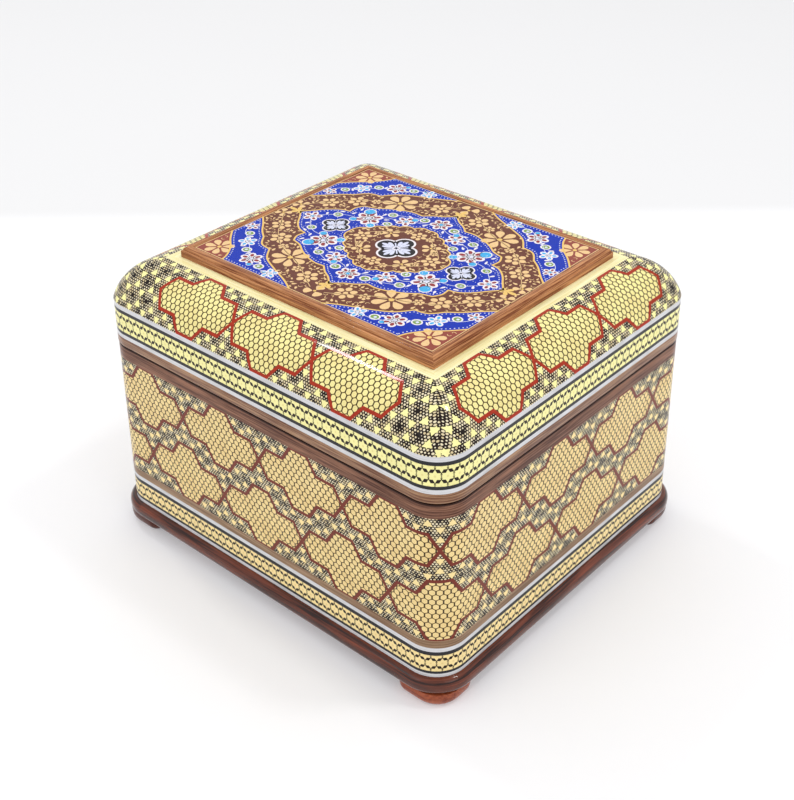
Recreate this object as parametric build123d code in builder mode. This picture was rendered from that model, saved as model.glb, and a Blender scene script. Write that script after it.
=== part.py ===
from build123d import *
import math
import os

# Inlaid jewelry box with a hinged lid, in millimetres.
# Origin: middle of the underside of the four feet. +X along the long front, +Y to the back, +Z up.

# Overall plan of the body
body_width = 150.0
body_depth = 132.5
corner_radius = 11.2
wall_thickness = 7.0
veneer_thickness = 1.6
glue_line = 0.08

# Heights of the layers, from the floor up
foot_height = 5.2
plinth_thickness = 5.3
base_white_height = 1.3
base_black_height = 1.0
base_band_height = 6.2
base_top_black_height = 1.4
base_top_white_height = 1.5
walnut_strip_height = 2.9
body_inlay_height = 45.2
body_rim_height = 5.0
seam_gap = 0.3
lid_rim_height = 3.5
lid_white_height = 1.5
lid_black_height = 1.2
lid_band_height = 7.0
lid_top_black_height = 1.3
lid_top_white_height = 1.7
shoulder_rise = 13.4

# Plinth and feet
plinth_overhang = 2.4
plinth_top_round = 2.4
plinth_under_round = 1.8
foot_length = 19.0
foot_depth = 17.0
foot_inset = 1.4
foot_outer_radius = 9.0
foot_inner_radius = 4.0
foot_bevel = 1.6

# Lid
lid_overhang = 0.2
shoulder_run = 16.4
shoulder_fullness = 0.648
shoulder_sections = 4
shoulder_top_radius = 0.5
lid_ceiling_height = 20.5

# Top of the lid: border strip, raised frame and painted panel
border_width = 3.8
border_thickness = 1.2
frame_width = 3.2
frame_height = 3.5
frame_face_height = 2.1
frame_bead = 0.35
frame_groove = 0.25
frame_lip_round = 0.3
panel_thickness = 2.2
panel_recess = 0.15
panel_clearance = 0.1

# Inside of the box
bottom_thickness = 4.0
lining_thickness = 1.5
lining_gap = 0.2
pad_thickness = 3.0
lining_top_gap = 1.0

# Butt hinges at the back
hinge_spacing = 84.0
hinge_length = 18.0
hinge_barrel_radius = 1.3
hinge_pin_radius = 0.6
hinge_pin_clearance = 0.05
hinge_leaf_thickness = 0.7
hinge_leaf_width = 4.2
hinge_clearance = 0.25
hinge_knuckle_gap = 0.1
hinge_groove_depth = 2.4
hinge_stop_angle = 51.0
screw_spacing = 11.0
screw_shank_radius = 0.55
screw_head_radius = 1.1
screw_length = 3.0
screw_clearance = 0.05
screw_sides = 12

# Levels worked out from the heights
plinth_bottom = foot_height
base_level = plinth_bottom + plinth_thickness
base_black_level = base_level + base_white_height
base_band_level = base_black_level + base_black_height
base_top_black_level = base_band_level + base_band_height
base_top_white_level = base_top_black_level + base_top_black_height
strip_level = base_top_white_level + base_top_white_height
inlay_level = strip_level + walnut_strip_height
body_rim_level = inlay_level + body_inlay_height
body_top = body_rim_level + body_rim_height
lid_bottom = body_top + seam_gap
lid_white_level = lid_bottom + lid_rim_height
lid_black_level = lid_white_level + lid_white_height
lid_band_level = lid_black_level + lid_black_height
lid_top_black_level = lid_band_level + lid_band_height
lid_top_white_level = lid_top_black_level + lid_top_black_height
shoulder_level = lid_top_white_level + lid_top_white_height
top_level = shoulder_level + shoulder_rise
panel_top = top_level + frame_height - panel_recess
panel_bottom = panel_top - panel_thickness
board_top = top_level - border_thickness
floor_level = base_level + bottom_thickness
ceiling_level = lid_bottom + lid_ceiling_height

# Plan half sizes
body_half = Vector(body_width / 2, body_depth / 2)
lid_half = Vector(body_half.X + lid_overhang, body_half.Y + lid_overhang)
lid_radius = corner_radius + lid_overhang
top_half = Vector(lid_half.X - shoulder_run, lid_half.Y - shoulder_run)
frame_half = Vector(top_half.X - border_width, top_half.Y - border_width)
panel_half = Vector(frame_half.X - frame_width, frame_half.Y - frame_width)
cavity_half = Vector(body_half.X - wall_thickness, body_half.Y - wall_thickness)
cavity_radius = max(corner_radius - wall_thickness, 1.0)
carcass_inset = veneer_thickness + glue_line

# Hinge axis, in the seam and inside the back face
hinge_y = body_half.Y - hinge_groove_depth
hinge_z = (body_top + lid_bottom) / 2
knuckle_length = hinge_length / 3

os.makedirs("parts", exist_ok=True)


def save(builder, name):
    """Label a finished piece and write it as a STEP file of the same name."""
    builder.part.label = name
    export_step(builder.part, "parts/" + name + ".step")


def rounded_plan(half, radius, inset=0.0):
    """Draw a rounded rectangle, inset evenly from the given half sizes."""
    inner_radius = max(radius - inset, shoulder_top_radius)
    RectangleRounded(2 * (half.X - inset), 2 * (half.Y - inset), inner_radius)


def ring(half, radius, thickness, level, height):
    """Make a closed band of even thickness round the box."""
    with BuildPart() as band:
        with BuildSketch(Plane.XY.offset(level)):
            rounded_plan(half, radius)
        extrude(amount=height)
        with BuildSketch(Plane.XY.offset(level)):
            rounded_plan(half, radius, thickness)
        extrude(amount=height, mode=Mode.SUBTRACT)
    return band.part


# Every layer is inset evenly, so all corners share the same four mitre planes
mitre_start = (body_width - body_depth) / 2
mitre_planes = {
    "front": (Plane((mitre_start, 0, 0), z_dir=(-1, -1, 0)), Plane((-mitre_start, 0, 0), z_dir=(1, -1, 0))),
    "back": (Plane((mitre_start, 0, 0), z_dir=(-1, 1, 0)), Plane((-mitre_start, 0, 0), z_dir=(1, 1, 0))),
    "right": (Plane((mitre_start, 0, 0), z_dir=(1, 1, 0)), Plane((mitre_start, 0, 0), z_dir=(1, -1, 0))),
    "left": (Plane((-mitre_start, 0, 0), z_dir=(-1, 1, 0)), Plane((-mitre_start, 0, 0), z_dir=(-1, -1, 0))),
}


def mitred(solid, side):
    """Keep the part of a solid that belongs to one side of the box."""
    with BuildPart() as piece:
        add(solid)
        for plane in mitre_planes[side]:
            split(bisect_by=plane, keep=Keep.TOP)
    return piece


# Profile planes of the four sides: sketch x runs inwards from the outer edge, sketch y runs up
def side_plane(side, half, level):
    """Return the plane that a moulding's profile is drawn on."""
    if side == "front":
        return Plane((0, -half.Y, level), x_dir=(0, 1, 0), z_dir=(1, 0, 0))
    if side == "back":
        return Plane((0, half.Y, level), x_dir=(0, -1, 0), z_dir=(-1, 0, 0))
    if side == "right":
        return Plane((half.X, 0, level), x_dir=(-1, 0, 0), z_dir=(0, 1, 0))
    return Plane((-half.X, 0, level), x_dir=(1, 0, 0), z_dir=(0, -1, 0))


# Feet: rounded blocks set in under the corners, with a wide bevel down to a smaller flat
foot_corner = Vector(body_half.X + plinth_overhang - foot_inset, body_half.Y + plinth_overhang - foot_inset)


def foot_outline():
    """Draw one foot's plan in the +X -Y quarter."""
    outer = Vector(foot_corner.X, -foot_corner.Y)
    inner = Vector(foot_corner.X - foot_length, -foot_corner.Y + foot_depth)
    bend = foot_outer_radius
    small = foot_inner_radius
    cut = math.cos(math.radians(45))
    with BuildLine() as outline:
        Line((inner.X, inner.Y - small), (inner.X, outer.Y + small))
        ThreePointArc(
            (inner.X, outer.Y + small),
            (inner.X + small * (1 - cut), outer.Y + small * (1 - cut)),
            (inner.X + small, outer.Y),
        )
        Line((inner.X + small, outer.Y), (outer.X - bend, outer.Y))
        ThreePointArc(
            (outer.X - bend, outer.Y),
            (outer.X - bend * (1 - cut), outer.Y + bend * (1 - cut)),
            (outer.X, outer.Y + bend),
        )
        Line((outer.X, outer.Y + bend), (outer.X, inner.Y - small))
        ThreePointArc(
            (outer.X, inner.Y - small),
            (outer.X - small * (1 - cut), inner.Y - small * (1 - cut)),
            (outer.X - small, inner.Y),
        )
        Line((outer.X - small, inner.Y), (inner.X + small, inner.Y))
        ThreePointArc(
            (inner.X + small, inner.Y),
            (inner.X + small * (1 - cut), inner.Y - small * (1 - cut)),
            (inner.X, inner.Y - small),
        )
    make_face(outline.edges())


with BuildPart() as foot:
    with BuildSketch():
        foot_outline()
    extrude(amount=foot_height)
    chamfer(foot.faces().sort_by(Axis.Z)[0].edges(), foot_bevel)

foot_mirrors = {
    "foot_front_right": (),
    "foot_front_left": (Plane.YZ,),
    "foot_back_right": (Plane.XZ,),
    "foot_back_left": (Plane.YZ, Plane.XZ),
}
for name, planes in foot_mirrors.items():
    placed = foot.part
    for plane in planes:
        placed = placed.mirror(plane)
    with BuildPart() as corner_foot:
        add(placed)
    save(corner_foot, name)

# Plinth: a solid board with a bullnose edge, proud of the body all round, as pairs of (height, inset)
plinth_half = Vector(body_half.X + plinth_overhang, body_half.Y + plinth_overhang)
round_middle = 1 - math.cos(math.radians(45))
bullnose = (
    (0, plinth_under_round),
    (plinth_under_round * round_middle, plinth_under_round * round_middle),
    (plinth_under_round, 0),
    (plinth_thickness - plinth_top_round, 0),
    (plinth_thickness - plinth_top_round * round_middle, plinth_top_round * round_middle),
    (plinth_thickness, plinth_top_round),
)
with BuildPart() as plinth:
    for rise, inset in bullnose:
        with BuildSketch(Plane.XY.offset(plinth_bottom + rise)):
            rounded_plan(plinth_half, corner_radius + plinth_overhang, inset)
    loft(ruled=True)
save(plinth, "plinth_board")

# Bottom board, inside the walls
with BuildPart() as bottom_board:
    with BuildSketch(Plane.XY.offset(base_level)):
        rounded_plan(cavity_half, cavity_radius, glue_line)
    extrude(amount=bottom_thickness)
save(bottom_board, "bottom_board")

# Carcass walls of the body, mitred at the corners
carcass_half = Vector(body_half.X - carcass_inset, body_half.Y - carcass_inset)
carcass_radius = corner_radius - carcass_inset
wall_wood = wall_thickness - carcass_inset
body_walls = ring(carcass_half, carcass_radius, wall_wood, base_level, body_rim_level - base_level)
for side in mitre_planes:
    save(mitred(body_walls, side), "wall_" + side)

# Veneers of the body: stringing, inlaid band, walnut strip and the wide inlaid sheet
body_layers = (
    ("base_white_line", base_level, base_white_height),
    ("base_black_line", base_black_level, base_black_height),
    ("base_inlay_band", base_band_level, base_band_height),
    ("base_upper_black_line", base_top_black_level, base_top_black_height),
    ("base_upper_white_line", base_top_white_level, base_top_white_height),
    ("body_walnut_strip", strip_level, walnut_strip_height),
    ("body_inlay_sheet", inlay_level, body_inlay_height),
)
for name, level, height in body_layers:
    with BuildPart() as layer:
        add(ring(body_half, corner_radius, veneer_thickness, level, height))
    save(layer, name)

# Hinge stations along the back
hinge_centres = (-hinge_spacing / 2, hinge_spacing / 2)
leaf_front = hinge_y - hinge_leaf_width
barrel_clear = hinge_barrel_radius + hinge_clearance
screw_y = leaf_front + (hinge_leaf_width - barrel_clear) / 2


def stop_groove(level, half_y, up):
    """Draw the section of the stop chamfer that runs along the back of a rim."""
    reach = half_y - hinge_y + hinge_groove_depth
    drop = reach * math.tan(math.radians(hinge_stop_angle))
    with BuildLine() as section:
        Polyline((hinge_y, level), (hinge_y + reach, level), (hinge_y + reach, level + up * drop), close=True)
    make_face(section.edges())


def hinged_rim(rim, level, half_y, up):
    """Cut the stop chamfer and the hinge seats in a back rim."""
    seat = hinge_leaf_thickness * up
    with BuildPart() as cut_rim:
        add(rim)
        with BuildSketch(Plane.YZ):
            stop_groove(level, half_y, up)
        extrude(amount=body_width, both=True, mode=Mode.SUBTRACT)
        for centre in hinge_centres:
            with BuildSketch(Plane.YZ.offset(centre)):
                with Locations((hinge_y, hinge_z)):
                    Circle(barrel_clear)
            extrude(amount=hinge_length / 2 + hinge_clearance, both=True, mode=Mode.SUBTRACT)
            with BuildSketch(Plane.XY.offset(level)):
                with Locations((centre, leaf_front + hinge_leaf_width / 2)):
                    Rectangle(hinge_length + 2 * screw_clearance, hinge_leaf_width + 2 * screw_clearance)
            extrude(amount=seat, mode=Mode.SUBTRACT)
            for offset in (-screw_spacing / 2, screw_spacing / 2):
                with BuildSketch(Plane.XY.offset(level)):
                    with Locations((centre + offset, screw_y)):
                        RegularPolygon(screw_shank_radius + screw_clearance, screw_sides)
                extrude(amount=screw_length * up, mode=Mode.SUBTRACT)
    return cut_rim


# Rims of walnut that cap the body and carry the lid
body_rim = ring(body_half, corner_radius, wall_thickness, body_rim_level, body_rim_height)
for side in mitre_planes:
    if side == "back":
        rim_piece = hinged_rim(mitred(body_rim, side).part, body_top, body_half.Y, -1)
    else:
        rim_piece = mitred(body_rim, side)
    save(rim_piece, "body_rim_" + side)

lid_rim = ring(lid_half, lid_radius, wall_thickness + lid_overhang, lid_bottom, lid_rim_height)
for side in mitre_planes:
    if side == "back":
        rim_piece = hinged_rim(mitred(lid_rim, side).part, lid_bottom, lid_half.Y, 1)
    else:
        rim_piece = mitred(lid_rim, side)
    save(rim_piece, "lid_rim_" + side)

# Veneers round the lid
lid_layers = (
    ("lid_white_line", lid_white_level, lid_white_height),
    ("lid_black_line", lid_black_level, lid_black_height),
    ("lid_inlay_band", lid_band_level, lid_band_height),
    ("lid_upper_black_line", lid_top_black_level, lid_top_black_height),
    ("lid_upper_white_line", lid_top_white_level, lid_top_white_height),
)
for name, level, height in lid_layers:
    with BuildPart() as layer:
        add(ring(lid_half, lid_radius, veneer_thickness, level, height))
    save(layer, name)

# Carcass walls of the lid
lid_carcass_half = Vector(lid_half.X - carcass_inset, lid_half.Y - carcass_inset)
lid_wall_wood = wall_thickness + lid_overhang - carcass_inset
lid_wall_height = shoulder_level - carcass_inset - lid_white_level
lid_walls = ring(lid_carcass_half, lid_radius - carcass_inset, lid_wall_wood, lid_white_level, lid_wall_height)
for side in mitre_planes:
    save(mitred(lid_walls, side), "lid_wall_" + side)


# Shoulder of the lid: the plan shrinks along an arc and its round corners close up to a point
def shoulder_arc():
    """Return the arc's centre and radius in run and rise, through its foot, middle and top."""
    middle = Vector(shoulder_run * shoulder_fullness, shoulder_rise * shoulder_fullness)
    foot_point = Vector(shoulder_run, 0)
    top_point = Vector(0, shoulder_rise)
    ax, ay = middle.X - foot_point.X, middle.Y - foot_point.Y
    bx, by = top_point.X - foot_point.X, top_point.Y - foot_point.Y
    twist = 2 * (ax * by - ay * bx)
    cx = (by * (ax * ax + ay * ay) - ay * (bx * bx + by * by)) / twist
    cy = (ax * (bx * bx + by * by) - bx * (ax * ax + ay * ay)) / twist
    return Vector(foot_point.X + cx, foot_point.Y + cy), math.hypot(cx, cy)


def shoulder_solid(inset):
    """Loft the domed shoulder, inset evenly inwards and downwards."""
    centre, radius = shoulder_arc()
    start = math.atan2(-centre.Y, shoulder_run - centre.X)
    stop = math.atan2(shoulder_rise - centre.Y, -centre.X)
    with BuildPart() as dome:
        for step in range(shoulder_sections + 1):
            angle = start + (stop - start) * step / shoulder_sections
            run = centre.X + radius * math.cos(angle)
            rise = centre.Y + radius * math.sin(angle)
            half = Vector(top_half.X + run - inset, top_half.Y + run - inset)
            corner = max(lid_radius * run / shoulder_run - inset, shoulder_top_radius)
            with BuildSketch(Plane.XY.offset(shoulder_level + rise - inset)):
                rounded_plan(half, corner)
        loft(ruled=True)
    return dome.part


with BuildPart() as lid_top_board:
    add(shoulder_solid(carcass_inset))
    with BuildSketch(Plane.XY.offset(ceiling_level)):
        rounded_plan(top_half, shoulder_top_radius, glue_line)
    extrude(amount=board_top - ceiling_level)
    with BuildSketch(Plane.XY.offset(board_top)):
        rounded_plan(panel_half, shoulder_top_radius, panel_clearance)
    extrude(amount=panel_bottom - board_top)
    with BuildSketch(Plane.XY.offset(shoulder_level - carcass_inset)):
        rounded_plan(cavity_half, cavity_radius)
    extrude(amount=ceiling_level - shoulder_level + carcass_inset, mode=Mode.SUBTRACT)
save(lid_top_board, "lid_top_board")

with BuildPart() as shoulder_inlay:
    add(shoulder_solid(0.0))
    add(shoulder_solid(veneer_thickness), mode=Mode.SUBTRACT)
    with BuildSketch(Plane.XY.offset(board_top - veneer_thickness)):
        Rectangle(2 * top_half.X, 2 * top_half.Y)
    extrude(amount=2 * veneer_thickness + border_thickness, mode=Mode.SUBTRACT)
save(shoulder_inlay, "lid_shoulder_inlay")

# Border strips round the flat top
for side, planes in mitre_planes.items():
    with BuildPart() as strip:
        with BuildSketch(side_plane(side, top_half, board_top)):
            Rectangle(border_width, border_thickness, align=(Align.MIN, Align.MIN))
        extrude(amount=body_width, both=True)
        for plane in planes:
            split(bisect_by=plane, keep=Keep.TOP)
    save(strip, "border_strip_" + side)

# Raised frame: an upright face, a groove and a rounded top that falls to the panel
for side, planes in mitre_planes.items():
    with BuildPart() as moulding:
        with BuildSketch(side_plane(side, frame_half, top_level)):
            with BuildLine():
                bead = Line((0, -border_thickness), (0, frame_face_height))
                nose = RadiusArc(bead @ 1, (frame_bead, frame_face_height + frame_bead), frame_bead)
                groove = Line(nose @ 1, (frame_bead + frame_groove, frame_face_height + frame_bead))
                step = Line(groove @ 1, groove @ 1 + Vector(0, frame_groove))
                crown_rise = frame_height - (step @ 1).Y
                crown = RadiusArc(step @ 1, step @ 1 + Vector(crown_rise, crown_rise), crown_rise)
                flat = Line(crown @ 1, (frame_width - frame_lip_round, frame_height))
                lip = RadiusArc(flat @ 1, (frame_width, frame_height - frame_lip_round), frame_lip_round)
                Polyline(lip @ 1, (frame_width, -border_thickness), (0, -border_thickness))
            make_face()
        extrude(amount=body_width, both=True)
        for plane in planes:
            split(bisect_by=plane, keep=Keep.TOP)
    save(moulding, "frame_moulding_" + side)

# Painted panel inside the frame
with BuildPart() as painted_panel:
    with BuildSketch(Plane.XY.offset(panel_bottom)):
        rounded_plan(panel_half, shoulder_top_radius, panel_clearance)
    extrude(amount=panel_thickness)
save(painted_panel, "painted_panel")

# Velvet lining: a floor pad and four wall pads in the body, the same in the lid
pad_half = Vector(cavity_half.X - lining_thickness - 2 * lining_gap, cavity_half.Y - lining_thickness - 2 * lining_gap)
long_pad_length = 2 * (cavity_half.X - cavity_radius)
short_pad_length = 2 * (cavity_half.Y - cavity_radius)
body_lining_height = body_top - lining_top_gap - floor_level - lining_gap
lid_lining_bottom = lid_bottom + lining_top_gap
lid_lining_height = ceiling_level - lining_gap - lid_lining_bottom


def wall_pads(level, height, name):
    """Make the long pair and the short pair of wall pads."""
    pad_offset = lining_gap + lining_thickness / 2
    with BuildPart() as long_pads:
        with BuildSketch(Plane.XY.offset(level)):
            with Locations((0, -cavity_half.Y + pad_offset), (0, cavity_half.Y - pad_offset)):
                Rectangle(long_pad_length, lining_thickness)
        extrude(amount=height)
    save(long_pads, name + "_long_pads")
    with BuildPart() as short_pads:
        with BuildSketch(Plane.XY.offset(level)):
            with Locations((-cavity_half.X + pad_offset, 0), (cavity_half.X - pad_offset, 0)):
                Rectangle(lining_thickness, short_pad_length)
        extrude(amount=height)
    save(short_pads, name + "_short_pads")


wall_pads(floor_level + lining_gap, body_lining_height, "lining")
wall_pads(lid_lining_bottom, lid_lining_height, "lid_lining")

with BuildPart() as floor_pad:
    with BuildSketch(Plane.XY.offset(floor_level + lining_gap)):
        rounded_plan(pad_half, cavity_radius, lining_gap)
    extrude(amount=pad_thickness)
save(floor_pad, "lining_floor_pad")

with BuildPart() as ceiling_pad:
    with BuildSketch(Plane.XY.offset(ceiling_level - lining_gap - pad_thickness)):
        rounded_plan(pad_half, cavity_radius, lining_gap)
    extrude(amount=pad_thickness)
save(ceiling_pad, "lid_lining_ceiling_pad")


# Hinges: a body leaf with two knuckles, a lid leaf with one between them, and a pin through all three
def hinge_leaf(centre, level, up, knuckle_shares):
    """Make one leaf plate with its knuckles, as one solid."""
    knuckle = knuckle_length - 2 * hinge_knuckle_gap
    with BuildPart() as leaf:
        with BuildSketch(Plane.XY.offset(level)):
            with Locations((centre, leaf_front + hinge_leaf_width / 2)):
                Rectangle(hinge_length, hinge_leaf_width)
        extrude(amount=hinge_leaf_thickness * up)
        with BuildSketch(Plane.YZ.offset(centre)):
            with Locations((hinge_y, hinge_z)):
                Circle(barrel_clear)
        extrude(amount=hinge_length, both=True, mode=Mode.SUBTRACT)
        for share in knuckle_shares:
            with BuildSketch(Plane.YZ.offset(centre + share * knuckle_length)):
                with Locations((hinge_y, hinge_z)):
                    Circle(hinge_barrel_radius)
            extrude(amount=knuckle / 2, both=True)
            with BuildSketch(Plane.XY.offset(level)):
                with Locations((centre + share * knuckle_length, hinge_y - barrel_clear / 2)):
                    Rectangle(knuckle, barrel_clear)
            extrude(amount=hinge_leaf_thickness * up)
        with BuildSketch(Plane.YZ.offset(centre)):
            with Locations((hinge_y, hinge_z)):
                Circle(hinge_pin_radius + hinge_pin_clearance)
        extrude(amount=hinge_length, both=True, mode=Mode.SUBTRACT)
        for offset in (-screw_spacing / 2, screw_spacing / 2):
            with BuildSketch(Plane.XY.offset(level)):
                with Locations((centre + offset, screw_y)):
                    RegularPolygon(screw_head_radius + screw_clearance, screw_sides)
            with BuildSketch(Plane.XY.offset(level + hinge_leaf_thickness * up)):
                with Locations((centre + offset, screw_y)):
                    RegularPolygon(screw_shank_radius + screw_clearance, screw_sides)
            loft(mode=Mode.SUBTRACT)
    return leaf.part


def hinge_screws(level, up):
    """Make the countersunk screws of both leaves on one rim."""
    with BuildPart() as screws:
        for centre in hinge_centres:
            for offset in (-screw_spacing / 2, screw_spacing / 2):
                place = (centre + offset, screw_y)
                with BuildSketch(Plane.XY.offset(level)):
                    with Locations(place):
                        RegularPolygon(screw_head_radius, screw_sides)
                with BuildSketch(Plane.XY.offset(level + hinge_leaf_thickness * up)):
                    with Locations(place):
                        RegularPolygon(screw_shank_radius, screw_sides)
                loft()
                with BuildSketch(Plane.XY.offset(level + hinge_leaf_thickness * up)):
                    with Locations(place):
                        RegularPolygon(screw_shank_radius, screw_sides)
                extrude(amount=(screw_length - hinge_leaf_thickness - screw_clearance) * up)
    return screws


with BuildPart() as body_leaves:
    for centre in hinge_centres:
        add(hinge_leaf(centre, body_top, -1, (-1, 1)))
save(body_leaves, "hinge_body_leaves")

with BuildPart() as lid_leaves:
    for centre in hinge_centres:
        add(hinge_leaf(centre, lid_bottom, 1, (0,)))
save(lid_leaves, "hinge_lid_leaves")

save(hinge_screws(body_top, -1), "hinge_body_screws")
save(hinge_screws(lid_bottom, 1), "hinge_lid_screws")

with BuildPart() as hinge_pins:
    for centre in hinge_centres:
        with BuildSketch(Plane.YZ.offset(centre)):
            with Locations((hinge_y, hinge_z)):
                Circle(hinge_pin_radius)
        extrude(amount=hinge_length / 2, both=True)
save(hinge_pins, "hinge_pins")
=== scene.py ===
import math
import random

import bpy
from bpy.props import FloatProperty, FloatVectorProperty, IntProperty, PointerProperty
from mathutils import Matrix, Vector
from mathutils.geometry import delaunay_2d_cdt


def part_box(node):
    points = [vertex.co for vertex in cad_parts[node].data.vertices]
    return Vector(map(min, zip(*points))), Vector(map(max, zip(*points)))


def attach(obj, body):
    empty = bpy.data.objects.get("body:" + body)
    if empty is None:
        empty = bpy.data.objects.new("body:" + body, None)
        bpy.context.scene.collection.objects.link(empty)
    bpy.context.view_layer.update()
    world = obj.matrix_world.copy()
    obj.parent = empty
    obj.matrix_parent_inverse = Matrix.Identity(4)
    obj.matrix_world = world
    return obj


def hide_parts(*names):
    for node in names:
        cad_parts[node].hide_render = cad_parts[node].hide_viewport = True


bl_info = {
    "name": "Inlaid Box Builder",
    "version": (1, 0, 0),
    "blender": (4, 5, 0),
    "location": "View3D > Sidebar > Inlaid Box",
    "description": "Dresses the frame of a star-inlay jewelry box with its sheets, bands, woods and painted panel",
    "category": "Object",
}

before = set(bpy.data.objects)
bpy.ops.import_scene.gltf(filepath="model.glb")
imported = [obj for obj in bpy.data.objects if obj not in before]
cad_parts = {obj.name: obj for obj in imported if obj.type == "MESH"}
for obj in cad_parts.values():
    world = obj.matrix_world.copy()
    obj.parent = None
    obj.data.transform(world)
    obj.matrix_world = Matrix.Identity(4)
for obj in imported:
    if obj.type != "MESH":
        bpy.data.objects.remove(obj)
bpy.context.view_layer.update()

MM = 0.001
ROOT3 = math.sqrt(3)
LATTICE_MAP = "lattice"
SIDES = ("front", "right", "back", "left")
QUADRANTS = ((1, 1), (-1, 1), (-1, -1), (1, -1))


def srgb(red, green, blue):
    """Turn a colour of 0 to 255 a channel into the linear colour that Blender's sockets take."""
    channels = []
    for value in (red, green, blue):
        share = value / 255
        channels.append(share / 12.92 if share <= 0.04045 else ((share + 0.055) / 1.055) ** 2.4)
    return tuple(channels)


def span(node):
    """Return the lowest and highest corner of a CAD node, in millimetres."""
    low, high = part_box(node)
    return low / MM, high / MM


def size_property(label, text, default):
    """Make a setting for a size or a count that isn't a whole number."""
    return FloatProperty(name=label, description=text, default=default, min=0.0, unit="NONE")


def colour_property(label, text, *channels):
    """Make a setting for a colour of 0 to 255 a channel."""
    return FloatVectorProperty(
        name=label, description=text, default=srgb(*channels), subtype="COLOR", size=3, min=0, max=1
    )


class BoxPlanSettings(bpy.types.PropertyGroup):
    """Plan sizes that the frame's corner boxes don't give, in millimetres."""

    corner_radius: size_property("Corner radius", "Radius of the body's vertical corners", 11.2)
    lid_corner_radius: size_property("Lid corner radius", "Radius of the lid's vertical corners", 11.4)
    plinth_corner_radius: size_property("Plinth corner radius", "Radius of the plinth's corners", 13.6)
    corner_steps: IntProperty(name="Corner steps", description="Facets in a quarter corner", default=14, min=4)
    veneer: size_property("Veneer", "Thickness of the inlaid sheets and lines", 1.6)


class InlaySettings(bpy.types.PropertyGroup):
    """Sizes of the star inlay, in millimetres."""

    body_repeats: IntProperty(name="Body repeats", description="Cartouches in one row round the body", default=15)
    near_corner: size_property("Near corner", "Distance from the front's left end to the near corner's middle", 136.4)
    lid_unit: size_property("Lid unit", "Fifth part of a cartouche's length on the lid", 6.9)
    outline: size_property("Outline", "Width of the red line round a cartouche", 1.15)
    cells_per_unit: size_property("Cells per unit", "Honeycomb cells in a fifth of a cartouche", 3.2)
    lid_stars: IntProperty(name="Lid stars", description="Stars round the lid's band", default=150)
    base_stars: IntProperty(name="Base stars", description="Stars round the base band", default=155)


class FinishSettings(bpy.types.PropertyGroup):
    """Colours of the woods, bone, paints and fabric."""

    honey: colour_property("Honeycomb", "Pale wood of the honeycomb cells", 255, 248, 172)
    honey_body: colour_property("Body honeycomb", "Pale wood of the cells on the body", 255, 230, 164)
    outline: colour_property("Outline", "Red line round the cartouches of the lid", 176, 50, 24)
    outline_body: colour_property("Body outline", "Duller line round the cartouches of the body", 126, 50, 34)
    ground: colour_property("Ground", "Blackwood ground between the stars", 30, 16, 8)
    bone: colour_property("Bone", "White stringing", 222, 222, 226)
    ebony: colour_property("Ebony", "Black stringing", 44, 44, 48)
    walnut: colour_property("Walnut", "Back rims, where the hinges are let in", 150, 112, 84)
    plinth: colour_property("Plinth", "Dark stained plinth", 128, 62, 40)
    # The near foot takes this colour; the other three feet take a darker copy of the foot wood, painted shade.
    feet: colour_property("Near foot", "Orange-brown stain of the near foot", 176, 92, 56)
    border: colour_property("Border", "Pale strip round the frame", 255, 252, 208)
    frame_wood: colour_property("Frame", "Raised frame round the panel", 216, 154, 104)
    velvet: colour_property("Velvet", "Lining", 120, 14, 24)


class Graph:
    """Adds nodes to one tree, and takes either numbers or sockets as their inputs."""

    def __init__(self, tree):
        self.tree = tree

    def node(self, kind, **settings):
        made = self.tree.nodes.new(kind)
        for key, value in settings.items():
            setattr(made, key, value)
        return made

    def feed(self, socket, value):
        if isinstance(value, bpy.types.NodeSocket):
            self.tree.links.new(value, socket)
        elif value is not None:
            if hasattr(socket.default_value, "__len__") and len(socket.default_value) == 4 and len(value) == 3:
                value = (*value, 1.0)
            socket.default_value = value

    def math(self, operation, *values, clamp=False):
        made = self.node("ShaderNodeMath", operation=operation, use_clamp=clamp)
        for socket, value in zip(made.inputs, values):
            self.feed(socket, value)
        return made.outputs[0]

    def vector(self, operation, *values):
        made = self.node("ShaderNodeVectorMath", operation=operation)
        for socket, value in zip(made.inputs, values):
            self.feed(socket, value)
        scalar = operation in ("DOT_PRODUCT", "LENGTH", "DISTANCE")
        return made.outputs["Value" if scalar else "Vector"]

    def mix(self, share, first, second, blend="MIX"):
        made = self.node("ShaderNodeMix", data_type="RGBA", blend_type=blend)
        self.feed(made.inputs[0], share)
        self.feed(made.inputs[6], first)
        self.feed(made.inputs[7], second)
        return made.outputs[2]

    def ramp(self, value, low, high, to_low=0.0, to_high=1.0):
        """Map a value smoothly from one range to another, and hold it at both ends."""
        made = self.node("ShaderNodeMapRange", interpolation_type="SMOOTHSTEP")
        for socket, number in zip(made.inputs, (value, low, high, to_low, to_high)):
            self.feed(socket, number)
        return made.outputs[0]

    def noise(self, vector, scale, detail=3.0, roughness=0.5, distortion=0.0):
        made = self.node("ShaderNodeTexNoise")
        self.feed(made.inputs["Vector"], vector)
        self.feed(made.inputs["Scale"], scale)
        self.feed(made.inputs["Detail"], detail)
        self.feed(made.inputs["Roughness"], roughness)
        self.feed(made.inputs["Distortion"], distortion)
        return made.outputs["Fac"]

    def cell_noise(self, vector):
        made = self.node("ShaderNodeTexWhiteNoise", noise_dimensions="3D")
        self.feed(made.inputs["Vector"], vector)
        return made.outputs["Value"]

    def stretch(self, vector, *factors):
        return self.vector("MULTIPLY", vector, factors)

    def group(self, tree, **values):
        made = self.node("ShaderNodeGroup", node_tree=tree)
        for key, value in values.items():
            self.feed(made.inputs[key.replace("_", " ")], value)
        return made


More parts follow.
